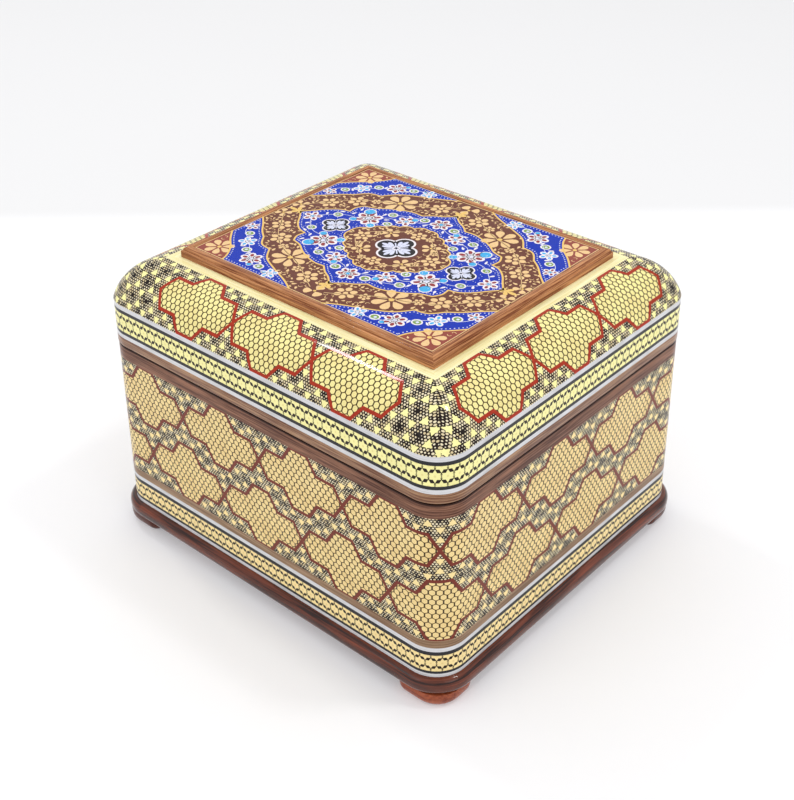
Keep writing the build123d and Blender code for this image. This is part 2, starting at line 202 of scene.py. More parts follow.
def new_group(name, inputs, outputs):
    """Start a shader node group with the named sockets."""
    tree = bpy.data.node_groups.new(name, "ShaderNodeTree")
    for label, kind in inputs:
        tree.interface.new_socket(name=label, in_out="INPUT", socket_type=kind)
    for label, kind in outputs:
        tree.interface.new_socket(name=label, in_out="OUTPUT", socket_type=kind)
    graph = Graph(tree)
    return tree, graph, graph.node("NodeGroupInput"), graph.node("NodeGroupOutput")


VECTOR = "NodeSocketVector"
FLOAT = "NodeSocketFloat"
COLOUR = "NodeSocketColor"


def hex_cells_group():
    """Nearest point of a triangular lattice: the offset from it, its place and its hexagon's distance."""
    tree, g, given, result = new_group(
        "Hex cells",
        (("Point", VECTOR), ("Pitch", FLOAT)),
        (("Offset", VECTOR), ("Cell", VECTOR), ("Across", FLOAT), ("Slanted", FLOAT), ("Round", FLOAT)),
    )
    pitch = given.outputs["Pitch"]
    corner = g.node("ShaderNodeCombineXYZ")
    g.feed(corner.inputs[0], g.math("MULTIPLY", pitch, 0.5))
    g.feed(corner.inputs[1], g.math("MULTIPLY", pitch, ROOT3 / 2))
    g.feed(corner.inputs[2], 1.0)
    shift = g.stretch(corner.outputs[0], 1, 1, 0)
    lowest = g.stretch(corner.outputs[0], -1, -1, -1)
    flat = g.stretch(given.outputs["Point"], 1, 1, 0)
    first = g.vector("WRAP", flat, corner.outputs[0], lowest)
    second = g.vector("WRAP", g.vector("ADD", flat, shift), corner.outputs[0], lowest)
    nearer = g.math("LESS_THAN", g.vector("LENGTH", first), g.vector("LENGTH", second))
    chosen = g.node("ShaderNodeMix", data_type="VECTOR")
    g.feed(chosen.inputs[0], nearer)
    g.feed(chosen.inputs[4], second)
    g.feed(chosen.inputs[5], first)
    offset = chosen.outputs[1]
    absolute = g.vector("ABSOLUTE", offset)
    across = g.vector("DOT_PRODUCT", absolute, (1, 0, 0))
    slanted = g.vector("DOT_PRODUCT", absolute, (0.5, ROOT3 / 2, 0))
    g.feed(result.inputs["Offset"], offset)
    g.feed(result.inputs["Cell"], g.vector("SUBTRACT", flat, offset))
    g.feed(result.inputs["Across"], across)
    g.feed(result.inputs["Slanted"], slanted)
    g.feed(result.inputs["Round"], g.vector("LENGTH", offset))
    return tree


def triangle_group():
    """Distance in from the sides of a triangle that points up, or down where Up is -1."""
    tree, g, given, result = new_group(
        "Triangle", (("Offset", VECTOR), ("Up", FLOAT), ("Inradius", FLOAT)), (("Distance", FLOAT),)
    )
    signs = g.node("ShaderNodeCombineXYZ")
    g.feed(signs.inputs[0], 1.0)
    g.feed(signs.inputs[1], given.outputs["Up"])
    turned = g.vector("MULTIPLY", given.outputs["Offset"], signs.outputs[0])
    base = g.vector("DOT_PRODUCT", turned, (0, -1, 0))
    right = g.vector("DOT_PRODUCT", turned, (ROOT3 / 2, 0.5, 0))
    left = g.vector("DOT_PRODUCT", turned, (-ROOT3 / 2, 0.5, 0))
    widest = g.math("MAXIMUM", base, g.math("MAXIMUM", right, left))
    g.feed(result.inputs["Distance"], g.math("SUBTRACT", widest, given.outputs["Inradius"]))
    return tree


def wood_group():
    """Long grain with fine dark pores. Point is in millimetres, with x along the grain."""
    tree, g, given, result = new_group(
        "Wood grain",
        (("Point", VECTOR), ("Light", COLOUR), ("Dark", COLOUR), ("Figure", FLOAT), ("Streaks", FLOAT)),
        (("Colour", COLOUR), ("Height", FLOAT)),
    )
    point = given.outputs["Point"]
    broad = g.noise(g.stretch(point, 0.03, 0.45, 0.45), 1.0, 4.0, 0.55, 0.6)
    streak = g.noise(g.stretch(point, 0.05, 2.1, 2.1), 1.0, 5.0, 0.65, 0.3)
    pores = g.noise(g.stretch(point, 0.35, 7.0, 7.0), 1.0, 2.0, 0.6)
    figure = g.math("MULTIPLY", g.ramp(broad, 0.32, 0.68), given.outputs["Figure"])
    streaks = g.math("MULTIPLY", g.ramp(streak, 0.36, 0.66), given.outputs["Streaks"])
    tone = g.math("ADD", figure, streaks, clamp=True)
    colour = g.mix(tone, given.outputs["Light"], given.outputs["Dark"])
    pore = g.ramp(pores, 0.62, 0.72)
    darker = g.mix(g.math("MULTIPLY", pore, 0.55), colour, g.mix(0.65, given.outputs["Dark"], (0, 0, 0)))
    g.feed(result.inputs["Colour"], darker)
    g.feed(result.inputs["Height"], g.math("SUBTRACT", g.math("MULTIPLY", streak, 0.4), g.math("MULTIPLY", pore, 0.6)))
    return tree


def lacquer_group():
    """Brushed lacquer: a slow swell, a little dust in it, and patches that have dulled."""
    tree, g, given, result = new_group(
        "Lacquer",
        (("Point", VECTOR), ("Gloss", FLOAT), ("Thickness", FLOAT)),
        (("Height", FLOAT), ("Roughness", FLOAT), ("Coat", FLOAT)),
    )
    point = given.outputs["Point"]
    swell = g.noise(point, 0.22, 2.0, 0.5)
    ripple = g.noise(point, 1.1, 2.0, 0.5)
    patches = g.noise(point, 0.06, 3.0, 0.6)
    g.feed(result.inputs["Height"], g.math("ADD", swell, g.math("MULTIPLY", ripple, 0.12)))
    g.feed(result.inputs["Roughness"], g.math("ADD", given.outputs["Gloss"], g.ramp(patches, 0.4, 0.7, 0.0, 0.14)))
    coat_wear_and_foot_wood = g.ramp(patches, 0.35, 0.75, 1.0, 0.75)
    g.feed(result.inputs["Coat"], g.math("MULTIPLY", coat_wear_and_foot_wood, given.outputs["Thickness"]))
    return tree


shared = {}


def shared_group(maker):
    """Build a node group once, and hand the same one to each material."""
    if maker.__name__ not in shared:
        shared[maker.__name__] = maker()
    return shared[maker.__name__]


def start_material(name):
    """Make an empty node material with its shader, and return it with its graph."""
    material = bpy.data.materials.new(name)
    material.use_nodes = True
    material.node_tree.nodes.clear()
    graph = Graph(material.node_tree)
    shader = graph.node("ShaderNodeBsdfPrincipled")
    output = graph.node("ShaderNodeOutputMaterial")
    graph.feed(output.inputs["Surface"], shader.outputs[0])
    return material, graph, shader


def lattice_point(graph):
    """Read the unrolled place on a piece, in millimetres."""
    return graph.node("ShaderNodeUVMap", uv_map=LATTICE_MAP).outputs[0]


def object_point(graph):
    """Read the place on the object itself, in millimetres."""
    place = graph.node("ShaderNodeTexCoord").outputs["Object"]
    return graph.stretch(place, 1 / MM, 1 / MM, 1 / MM)


def lacquered(graph, shader, colour, height=None, gloss=0.3, depth=0.00002, coat=0.5, coat_roughness=0.04):
    """Put a lacquered surface on a colour, with the swell of the coat in its bump."""
    film = graph.group(shared_group(lacquer_group), Point=object_point(graph), Gloss=gloss, Thickness=coat)
    graph.feed(shader.inputs["Base Color"], colour)
    graph.feed(shader.inputs["Roughness"], film.outputs["Roughness"])
    graph.feed(shader.inputs["Coat Weight"], film.outputs["Coat"])
    shader.inputs["Coat Roughness"].default_value = coat_roughness
    shader.inputs["Coat IOR"].default_value = 1.4
    shader.inputs["Specular IOR Level"].default_value = 0.06
    swell = film.outputs["Height"]
    if height is not None:
        swell = graph.math("ADD", swell, graph.math("MULTIPLY", height, 0.25))
    bump = graph.node("ShaderNodeBump")
    bump.inputs["Strength"].default_value = 0.35
    bump.inputs["Distance"].default_value = depth
    graph.feed(bump.inputs["Height"], swell)
    graph.feed(shader.inputs["Normal"], bump.outputs[0])


def honeycomb_material(name, pitch, rise, pale, net):
    """Pale cells with thin dark joints and darker spots where three joints meet, each darkened towards its rim by
    painted shade so that it looks rounded.
    """
    material, g, shader = start_material(name)
    point = g.stretch(lattice_point(g), 1, rise, 1)
    cells = g.group(shared_group(hex_cells_group), Point=point, Pitch=pitch)
    bar = g.ramp(cells.outputs["Across"], pitch * 0.36, pitch * 0.415)
    lean = g.ramp(cells.outputs["Slanted"], pitch * 0.39, pitch * 0.455)
    spot = g.ramp(cells.outputs["Round"], pitch * 0.45, pitch * 0.51)
    tone = g.cell_noise(cells.outputs["Cell"])
    # Painted shade: each flat cell darkens towards its rim, so it looks rounded.
    edge = g.ramp(cells.outputs["Round"], pitch * 0.28, pitch * 0.44)
    eye = g.math("ABSOLUTE", g.math("SUBTRACT", cells.outputs["Round"], pitch * 0.17))
    light = g.mix(g.math("MULTIPLY", tone, 0.35), pale, tuple(c * 0.72 for c in pale))
    ringed = g.mix(g.ramp(eye, pitch * 0.02, pitch * 0.06, 0.3, 0.0), light, srgb(196, 140, 60))
    shaded = g.mix(g.math("MULTIPLY", edge, 0.22), ringed, srgb(220, 168, 76))
    patches = g.ramp(g.noise(point, 0.09, 2.0), 0.35, 0.7, 0.0, 0.2)
    aged = g.mix(patches, shaded, srgb(214, 168, 96))
    leaning = g.mix(g.math("MULTIPLY", lean, net), aged, srgb(92, 66, 26))
    barred = g.mix(g.math("MULTIPLY", bar, 0.94), leaning, srgb(52, 38, 12))
    colour = g.mix(g.math("MULTIPLY", spot, 0.85), barred, srgb(34, 20, 8))
    lacquered(g, shader, colour, g.math("MULTIPLY", bar, -1.0))
    return material


def star_field_material(name, side, rise, pale):
    """Pale triangles and small white dots on a black ground, with a black spot at each lattice point."""
    colours = bpy.context.scene.box_finish
    material, g, shader = start_material(name)
    hexes = shared_group(hex_cells_group)
    triangle = shared_group(triangle_group)
    point = g.stretch(lattice_point(g), 1, rise, 1)
    dots = g.group(hexes, Point=point, Pitch=side / 7)
    corners = g.group(hexes, Point=point, Pitch=side)
    spot = g.ramp(corners.outputs["Round"], side * 0.105, side * 0.12, 1.0, 0.0)
    usual = g.ramp(corners.outputs["Round"], side * 0.12, side * 0.3, side * 0.036, side * 0.047)
    tone = g.cell_noise(dots.outputs["Cell"])
    radius = g.math("MULTIPLY", usual, g.ramp(tone, 0.08, 0.45, 0.45, 1.1))
    dot = g.ramp(g.math("SUBTRACT", dots.outputs["Round"], radius), -0.05, 0.05, 1.0, 0.0)
    stars = None
    for step, up in ((-1, -1), (1, 1)):
        shifted = g.vector("ADD", point, (side / 2, step * side / (2 * ROOT3), 0))
        middle = g.group(hexes, Point=shifted, Pitch=side)
        body = g.group(triangle, Offset=middle.outputs["Offset"], Up=up, Inradius=side * 0.118)
        points = g.group(triangle, Offset=middle.outputs["Offset"], Up=-up, Inradius=side * 0.09)
        within = g.math("MINIMUM", body.outputs["Distance"], points.outputs["Distance"])
        mask = g.ramp(within, -0.05, 0.05, 1.0, 0.0)
        stars = mask if stars is None else g.math("MAXIMUM", stars, mask)
    white = g.mix(tone, srgb(255, 246, 216), srgb(214, 194, 148))
    with_dots = g.mix(dot, (*colours.ground,), white)
    with_spots = g.mix(spot, with_dots, tuple(c * 0.6 for c in colours.ground))
    yellow = g.mix(g.math("MULTIPLY", tone, 0.3), pale, tuple(c * 0.78 for c in pale))
    colour = g.mix(stars, with_spots, yellow)
    lacquered(g, shader, colour, g.math("MAXIMUM", stars, dot))
    return material


def star_band_material(name, pitch, rise, pale):
    """A row of six-pointed stars between two rows of half stars, with black ovals between them."""
    colours = bpy.context.scene.box_finish
    material, g, shader = start_material(name)
    point = g.stretch(lattice_point(g), 1, rise, 1)
    cells = g.group(shared_group(hex_cells_group), Point=point, Pitch=pitch)
    points = []
    for up in (1, -1):
        half_star = g.group(
            shared_group(triangle_group), Offset=cells.outputs["Offset"], Up=up, Inradius=pitch * 0.28
        )
        points.append(half_star.outputs["Distance"])
    star = g.ramp(g.math("MINIMUM", *points), -0.06, 0.06, 1.0, 0.0)
    sideways = g.ramp(g.math("SUBTRACT", cells.outputs["Across"], cells.outputs["Slanted"]), 0.25, 0.45)
    line = g.ramp(cells.outputs["Across"], pitch * 0.43, pitch * 0.465)
    lean = g.ramp(cells.outputs["Slanted"], pitch * 0.465, pitch * 0.5)
    tone = g.cell_noise(cells.outputs["Cell"])
    heart = g.ramp(cells.outputs["Round"], pitch * 0.08, pitch * 0.13, 1.0, 0.0)
    light = g.mix(g.math("MULTIPLY", tone, 0.3), pale, tuple(c * 0.74 for c in pale))
    centred = g.mix(g.math("MULTIPLY", heart, 0.25), light, srgb(190, 150, 80))
    joined = g.mix(g.math("MULTIPLY", lean, 0.6), centred, srgb(130, 92, 34))
    starred = g.mix(g.math("MAXIMUM", star, sideways), (*colours.ground,), joined)
    colour = g.mix(g.math("MULTIPLY", line, 0.75), starred, (*colours.ground,))
    lacquered(g, shader, colour, star)
    return material


def stringing_material(name, base, second):
    """A plain bone or ebony line with faint streaks and joints along it."""
    material, g, shader = start_material(name)
    point = lattice_point(g)
    streak = g.noise(g.stretch(point, 0.08, 2.5, 2.5), 1.0, 4.0, 0.6)
    clouds = g.noise(point, 0.12, 2.0)
    tone = g.math("ADD", g.ramp(streak, 0.4, 0.7, 0.0, 0.45), g.ramp(clouds, 0.4, 0.7, 0.0, 0.3), clamp=True)
    lacquered(g, shader, g.mix(tone, base, second), streak, gloss=0.2)
    return material


def outline_material(name, colour):
    """The thin red-brown rods round each cartouche."""
    material, g, shader = start_material(name)
    point = lattice_point(g)
    grain = g.noise(g.stretch(point, 1.4, 1.4, 1.4), 1.0, 4.0, 0.65)
    dark = tuple(c * 0.45 for c in colour)
    lacquered(g, shader, g.mix(g.ramp(grain, 0.35, 0.75, 0.0, 0.7), colour, dark), grain)
    return material


def wood_material(
    name, light, dark, figure=0.6, streaks=0.55, gloss=0.3, use_map=True, coat=0.5, coat_roughness=0.07
):
    """Lacquered wood with grain along the piece."""
    material, g, shader = start_material(name)
    point = lattice_point(g) if use_map else object_point(g)
    grain = g.group(
        shared_group(wood_group), Point=point, Light=light, Dark=dark, Figure=figure, Streaks=streaks
    )
    lacquered(g, shader, grain.outputs["Colour"], grain.outputs["Height"], gloss, 0.00004, coat, coat_roughness)
    return material


def paint_material(name, colour, variation=0.25):
    """Brushed gouache under lacquer, uneven where the brush has passed twice."""
    material, g, shader = start_material(name)
    point = object_point(g)
    strokes = g.noise(g.stretch(point, 0.9, 2.4, 1.0), 1.0, 4.0, 0.6, 0.4)
    grain = g.noise(point, 5.0, 2.0)
    tone = g.math("ADD", g.ramp(strokes, 0.35, 0.7, 0.0, variation), g.ramp(grain, 0.5, 0.75, 0.0, variation / 2))
    dark = tuple(c * 0.45 for c in colour)
    lacquered(g, shader, g.mix(tone, colour, dark), strokes, gloss=0.34, depth=0.00001, coat=0.2, coat_roughness=0.1)
    return material


def velvet_material():
    """Short-pile velvet: brushed patches, a fine nap and a sheen at grazing angles."""
    colour = bpy.context.scene.box_finish.velvet
    material, g, shader = start_material("lining_velvet")
    point = object_point(g)
    brushed = g.noise(point, 0.11, 3.0, 0.6, 0.8)
    nap = g.noise(point, 6.0, 2.0, 0.7)
    tone = g.math("ADD", g.ramp(brushed, 0.35, 0.7, 0.0, 0.5), g.ramp(nap, 0.35, 0.7, 0.0, 0.3), clamp=True)
    g.feed(shader.inputs["Base Color"], g.mix(tone, (*colour,), tuple(c * 0.4 for c in colour)))
    g.feed(shader.inputs["Roughness"], g.ramp(nap, 0.3, 0.7, 0.85, 1.0))
    shader.inputs["Sheen Weight"].default_value = 0.6
    shader.inputs["Sheen Roughness"].default_value = 0.35
    shader.inputs["Sheen Tint"].default_value = (0.9, 0.35, 0.35, 1)
    bump = g.node("ShaderNodeBump")
    bump.inputs["Strength"].default_value = 0.5
    bump.inputs["Distance"].default_value = 0.0002
    g.feed(bump.inputs["Height"], g.math("ADD", g.math("MULTIPLY", nap, 0.5), brushed))
    g.feed(shader.inputs["Normal"], bump.outputs[0])
    return material


def brass_material(name):
    """Yellow brass, brushed and a little tarnished in its low places."""
    material, g, shader = start_material(name)
    point = object_point(g)
    brushed = g.noise(g.stretch(point, 0.6, 9.0, 9.0), 1.0, 3.0, 0.6)
    tarnish = g.noise(point, 0.7, 4.0, 0.65)
    base = g.mix(g.ramp(tarnish, 0.45, 0.72, 0.0, 0.7), srgb(206, 166, 86), srgb(132, 92, 44))
    g.feed(shader.inputs["Base Color"], base)
    g.feed(shader.inputs["Roughness"], g.ramp(brushed, 0.3, 0.7, 0.22, 0.42))
    shader.inputs["Metallic"].default_value = 1.0
    bump = g.node("ShaderNodeBump")
    bump.inputs["Strength"].default_value = 0.3
    bump.inputs["Distance"].default_value = 0.00003
    g.feed(bump.inputs["Height"], brushed)
    g.feed(shader.inputs["Normal"], bump.outputs[0])
    return material


def smooth_by_angle(mesh, angle=32):
    """Shade a mesh smooth, with its edges kept sharp above an angle."""
    mesh.shade_smooth()
    mesh.set_sharp_from_angle(angle=math.radians(angle))


def add_piece(name, points, faces, materials, tags=None, maps=None, normals=None):
    """Make an object from points in millimetres, with a lattice map and its materials."""
    mesh = bpy.data.meshes.new(name)
    mesh.from_pydata([(x * MM, y * MM, z * MM) for x, y, z in points], [], faces)
    for material in materials:
        mesh.materials.append(material)
    if tags is not None:
        mesh.polygons.foreach_set("material_index", tags)
    if maps is not None:
        layer = mesh.uv_layers.new(name=LATTICE_MAP)
        flat = [value for face in maps for corner in face for value in corner]
        layer.data.foreach_set("uv", flat)
    if mesh.validate(clean_customdata=False):
        raise RuntimeError(name + " has broken faces")
    if normals is None:
        smooth_by_angle(mesh)
    else:
        mesh.shade_smooth()
        mesh.normals_split_custom_set([n for face in normals for n in face])
    piece = bpy.data.objects.new(name, mesh)
    bpy.context.scene.collection.objects.link(piece)
    return piece


def settle(piece, body, slot, *nodes):
    """Hand a finished piece to its body, in place of its CAD nodes; its slot is not used."""
    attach(piece, body)
    if nodes:
        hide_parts(*nodes)
    return piece


class RoundedPlan:
    """A rounded rectangle from above, with distance running anticlockwise from the front's left end."""

    def __init__(self, half_x, half_y, radius):
        self.radius = radius
        self.centre_x = half_x - radius
        self.centre_y = half_y - radius
        self.arc = radius * math.pi / 2
        self.runs = (2 * self.centre_x, self.arc, 2 * self.centre_y, self.arc) * 2
        self.length = sum(self.runs)

    def at(self, distance):
        """Return the place and outward direction at a distance along the outline."""
        left = distance % self.length
        for index, run in enumerate(self.runs):
            if left <= run or index == 7:
                break
            left -= run
        quarter = index // 2
        turn = quarter * math.pi / 2
        half_run = self.centre_x if quarter % 2 == 0 else self.centre_y
        half_deep = (self.centre_y if quarter % 2 == 0 else self.centre_x) + self.radius
        if index % 2 == 0:
            along, out = left - half_run, half_deep
            facing = -math.pi / 2
        else:
            facing = -math.pi / 2 + left / self.radius
            along = half_run + self.radius * math.cos(facing)
            out = half_deep - self.radius - self.radius * math.sin(facing)
        place = Vector((along, -out))
        spin = Matrix.Rotation(turn, 2)
        return spin @ place, spin @ Vector((math.cos(facing), math.sin(facing)))

    def stations(self, start, stop, steps, straight=12.0):
        """List distances from start to stop, close together round the corners."""
        marks = {start, stop}
        base = 0.0
        while base > start:
            base -= self.length
        while base < stop:
            at = base
            for index, run in enumerate(self.runs):
                count = steps if index % 2 else max(1, round(run / straight))
                marks.update(at + run * k / count for k in range(count))
                at += run
            base += self.length
        ordered = sorted(m for m in marks if start - 1e-6 <= m <= stop + 1e-6)
        kept = [ordered[0]]
        for mark in ordered[1:]:
            if mark - kept[-1] > 1e-4:
                kept.append(mark)
        return kept


def sweep(name, plan, profile, materials, stretch=None, closed_profile=True, v_centre=0.0, second=()):
    """Run a profile of (outward, height) points round a plan, as a closed solid.

    Second lists the profile's sides that take the second material.
    """
    settings = bpy.context.scene.box_plan
    whole = stretch is None
    start, stop = (0.0, plan.length) if whole else stretch
    marks = plan.stations(start, stop, settings.corner_steps)
    columns = marks[:-1] if whole else marks
    points = []
    for mark in columns:
        place, out = plan.at(mark)
        for outward, height in profile:
            spot = place + out * outward
            points.append((spot.x, spot.y, height))
    size = len(profile)
    lengths = [0.0]
    for (a, b), (c, d) in zip(profile, list(profile[1:]) + [profile[0]]):
        lengths.append(lengths[-1] + math.hypot(c - a, d - b))
    drawn = range(size if closed_profile else size - 1)
    faces, maps, tags = [], [], []
    for k in range(len(marks) - 1):
        here = k * size
        there = ((k + 1) % len(columns)) * size
        tags += [1 if j in second else 0 for j in drawn]
        for j in drawn:
            nxt = (j + 1) % size
            faces.append((here + j, there + j, there + nxt, here + nxt))
            low, high = lengths[j] - v_centre, lengths[j + 1] - v_centre
            maps.append(((marks[k], low), (marks[k + 1], low), (marks[k + 1], high), (marks[k], high)))
    if not closed_profile:
        for j, flip in ((0, True), (size - 1, False)):
            loop = [k * size + j for k in range(len(columns))]
            loop = loop[::-1] if flip else loop
            faces.append(loop)
            maps.append([(points[i][0], points[i][1]) for i in loop])
    if not whole:
        for base, flip in ((0, False), ((len(columns) - 1) * size, True)):
            loop = [base + j for j in range(size)]
            loop = loop[::-1] if flip else loop
            faces.append(loop)
            maps.append([(points[i][0] + points[i][1], points[i][2]) for i in loop])
    tags += [0] * (len(faces) - len(tags))
    return add_piece(name, points, faces, materials, tags, maps)


def ring_profile(low, high, thickness):
    """Section of a band whose outer face comes first, running up."""
    return [(0, low), (0, high), (-thickness, high), (-thickness, low)]


def offset_polygon(points, distance):
    """Move a closed anticlockwise outline outwards, with mitred corners."""
    moved = []
    count = len(points)
    for k in range(count):
        before, here, after = Vector(points[k - 1]), Vector(points[k]), Vector(points[(k + 1) % count])
        first = (here - before).normalized()
        second = (after - here).normalized()
        first_out, second_out = Vector((first.y, -first.x)), Vector((second.y, -second.x))
        bisector = (first_out + second_out).normalized()
        moved.append(tuple(here + bisector * (distance / max(bisector.dot(first_out), 0.2))))
    return moved


def cartouche(unit, step, half_height):
    """Outline of the twelve-cornered cartouche about its own middle, anticlockwise."""
    quarter = [(unit / 2, half_height), (unit, step), (2 * unit, step), (2.5 * unit, 0)]
    right = [(x, -y) for x, y in quarter[:3]] + quarter[::-1]
    return right + [(-x, -y) for x, y in right]


def cartouche_rings(shape, centres, width):
    """List the outer and inner outline of each cartouche's red line, with the cartouche's middle."""
    rings = []
    for x, z in centres:
        outer, inner = ([(x + px, z + pz) for px, pz in offset_polygon(shape, side * width / 2)] for side in (1, -1))
        rings.append((outer, inner, (x, z)))
    return rings


def cartouche_tag(rings, middle, reach, field_centre):
    """Tell honeycomb (0) from red line (1) and star field (2), with the middle that its pattern starts from."""
    line = None
    for outer, inner, centre in rings:
        if abs(centre[0] - middle.x) < reach and inside(middle, outer):
            if inside(middle, inner):
                return 0, centre
            line = centre
    return (1, line) if line else (2, field_centre)


def map_from(spot, centre):
    """Return a place on a flat sheet as seen from the middle of its pattern."""
    return spot.x - centre[0], spot.y - centre[1]


def inside(point, outline):
    """Tell whether a point lies within a closed outline."""
    x, y = point
    hit = False
    count = len(outline)
    for k in range(count):
        (ax, ay), (bx, by) = outline[k], outline[(k + 1) % count]
        if (ay > y) != (by > y) and x < (bx - ax) * (y - ay) / (by - ay) + ax:
            hit = not hit
    return hit


def flat_triangles(outlines, lines, border):
    """Cut a flat area into triangles along closed outlines and straight lines."""
    points, edges = [], []
    for outline in outlines + [border]:
        first = len(points)
        points.extend(Vector(p) for p in outline)
        edges.extend((first + k, first + (k + 1) % len(outline)) for k in range(len(outline)))
    for start, end in lines:
        first = len(points)
        points.extend((Vector(start), Vector(end)))
        edges.append((first, first + 1))
    spots, _, faces, _, _, _ = delaunay_2d_cdt(points, edges, [], 0, 1e-4, False)
    kept = []
    for face in faces:
        middle = sum((spots[i] for i in face), Vector((0, 0))) / len(face)
        if inside(middle, border):
            kept.append((tuple(face), middle))
    return spots, kept


def closed_shell(spots, faces, wrap, thickness, tag_of):
    """Wrap flat triangles round the box and give the sheet its thickness.

    Returns points, faces, tags, maps and normals.
    """
    used = sorted({i for face, _ in faces for i in face})
    index = {old: new for new, old in enumerate(used)}
    outer, inner, out_dirs = [], [], []
    for i in used:
        place, out = wrap(spots[i])
        outer.append(place)
        inner.append(place - out * thickness)
        out_dirs.append(out)
    count = len(used)
    points = outer + inner
    all_faces, tags, maps, normals = [], [], [], []
    edge_uses = {}
    for face, middle in faces:
        a, b, c = (index[i] for i in face)
        if (points[b] - points[a]).cross(points[c] - points[a]).length < 1e-7:
            continue
        if (points[b] - points[a]).cross(points[c] - points[a]).dot(out_dirs[a]) < 0:
            b, c = c, b
        tag, cell = tag_of(middle)
        corners = [map_from(spots[used[i]], cell) for i in (a, b, c)]
        all_faces.append((a, b, c))
        maps.append(corners)
        normals.append([out_dirs[i] for i in (a, b, c)])
        tags.append(tag)
        all_faces.append((c + count, b + count, a + count))
        maps.append(corners[::-1])
        normals.append([-out_dirs[i] for i in (c, b, a)])
        tags.append(tag)
        for pair in ((a, b), (b, c), (c, a)):
            edge_uses.setdefault(frozenset(pair), []).append((pair, tag, corners[0]))
    for uses in edge_uses.values():
        if len(uses) == 1:
            (a, b), tag, corner = uses[0]
            all_faces.append((b, a, a + count, b + count))
            wall = (points[a] - points[b]).cross(points[a + count] - points[a]).normalized()
            maps.append([corner] * 4)
            normals.append([wall] * 4)
            tags.append(tag)
    return [tuple(p) for p in points], all_faces, tags, maps, normals


class BOX_OT_body_sheet(bpy.types.Operator):
    """Lay the wide inlaid sheet round the body: two rows of honeycomb cartouches on a star field"""

    bl_idname = "box.body_sheet"
    bl_label = "Body inlay sheet"

    def execute(self, context):
        plan_settings, inlay, colours = context.scene.box_plan, context.scene.box_inlay, context.scene.box_finish
        low, high = span("body_inlay_sheet")
        plan = RoundedPlan(high.x, high.y, plan_settings.corner_radius)
        repeat = plan.length / inlay.body_repeats
        unit = repeat / 5
        row_height = (high.z - low.z) / 2
        middle_line = low.z + row_height
        start = inlay.near_corner - plan.length / 2 - repeat
        stop = start + plan.length
        rows = ((low.z + row_height / 2, 0.0), (high.z - row_height / 2, repeat / 2))
        shape = cartouche(unit, row_height / 4, row_height / 2)
        centres = []
        for height, shift in rows:
            first = math.floor((start - inlay.near_corner - shift) / repeat)
            for k in range(first, first + inlay.body_repeats + 3):
                centres.append((inlay.near_corner + shift + k * repeat, height))
        rings = cartouche_rings(shape, centres, inlay.outline)
        outlines = [outline for ring in rings for outline in ring[:2]]
        border = [(start, low.z), (stop, low.z), (stop, high.z), (start, high.z)]
        lines = [((start, middle_line), (stop, middle_line))]
        for mark in plan.stations(start, stop, plan_settings.corner_steps, 30.0):
            lines.append(((mark, low.z - 2), (mark, high.z + 2)))
        spots, faces = flat_triangles(outlines, lines, border)

        def tag_of(middle):
            height, shift = rows[0] if middle.y < middle_line else rows[1]
            return cartouche_tag(rings, middle, 3 * unit, (inlay.near_corner + shift + repeat / 2, height))

        def wrap(spot):
            place, out = plan.at(spot.x)
            return Vector((place.x, place.y, spot.y)), Vector((out.x, out.y, 0))

        pitch = unit / inlay.cells_per_unit
        rise = (ROOT3 / 2 * unit) / (row_height / 4)
        materials = [
            honeycomb_material("body_honeycomb", pitch, ROOT3 / 2 * pitch / 1.78, (*colours.honey_body,), 0.85),
            outline_material("body_outline", (*colours.outline_body,)),
            star_field_material("body_star_field", unit, rise, (*colours.honey_body,)),
        ]
        points, sheet_faces, tags, maps, normals = closed_shell(spots, faces, wrap, plan_settings.veneer, tag_of)
        piece = add_piece("body_khatam_sheet", points, sheet_faces, materials, tags, maps, normals)
        settle(piece, "box", "field_inlay", "body_inlay_sheet")
        return {"FINISHED"}


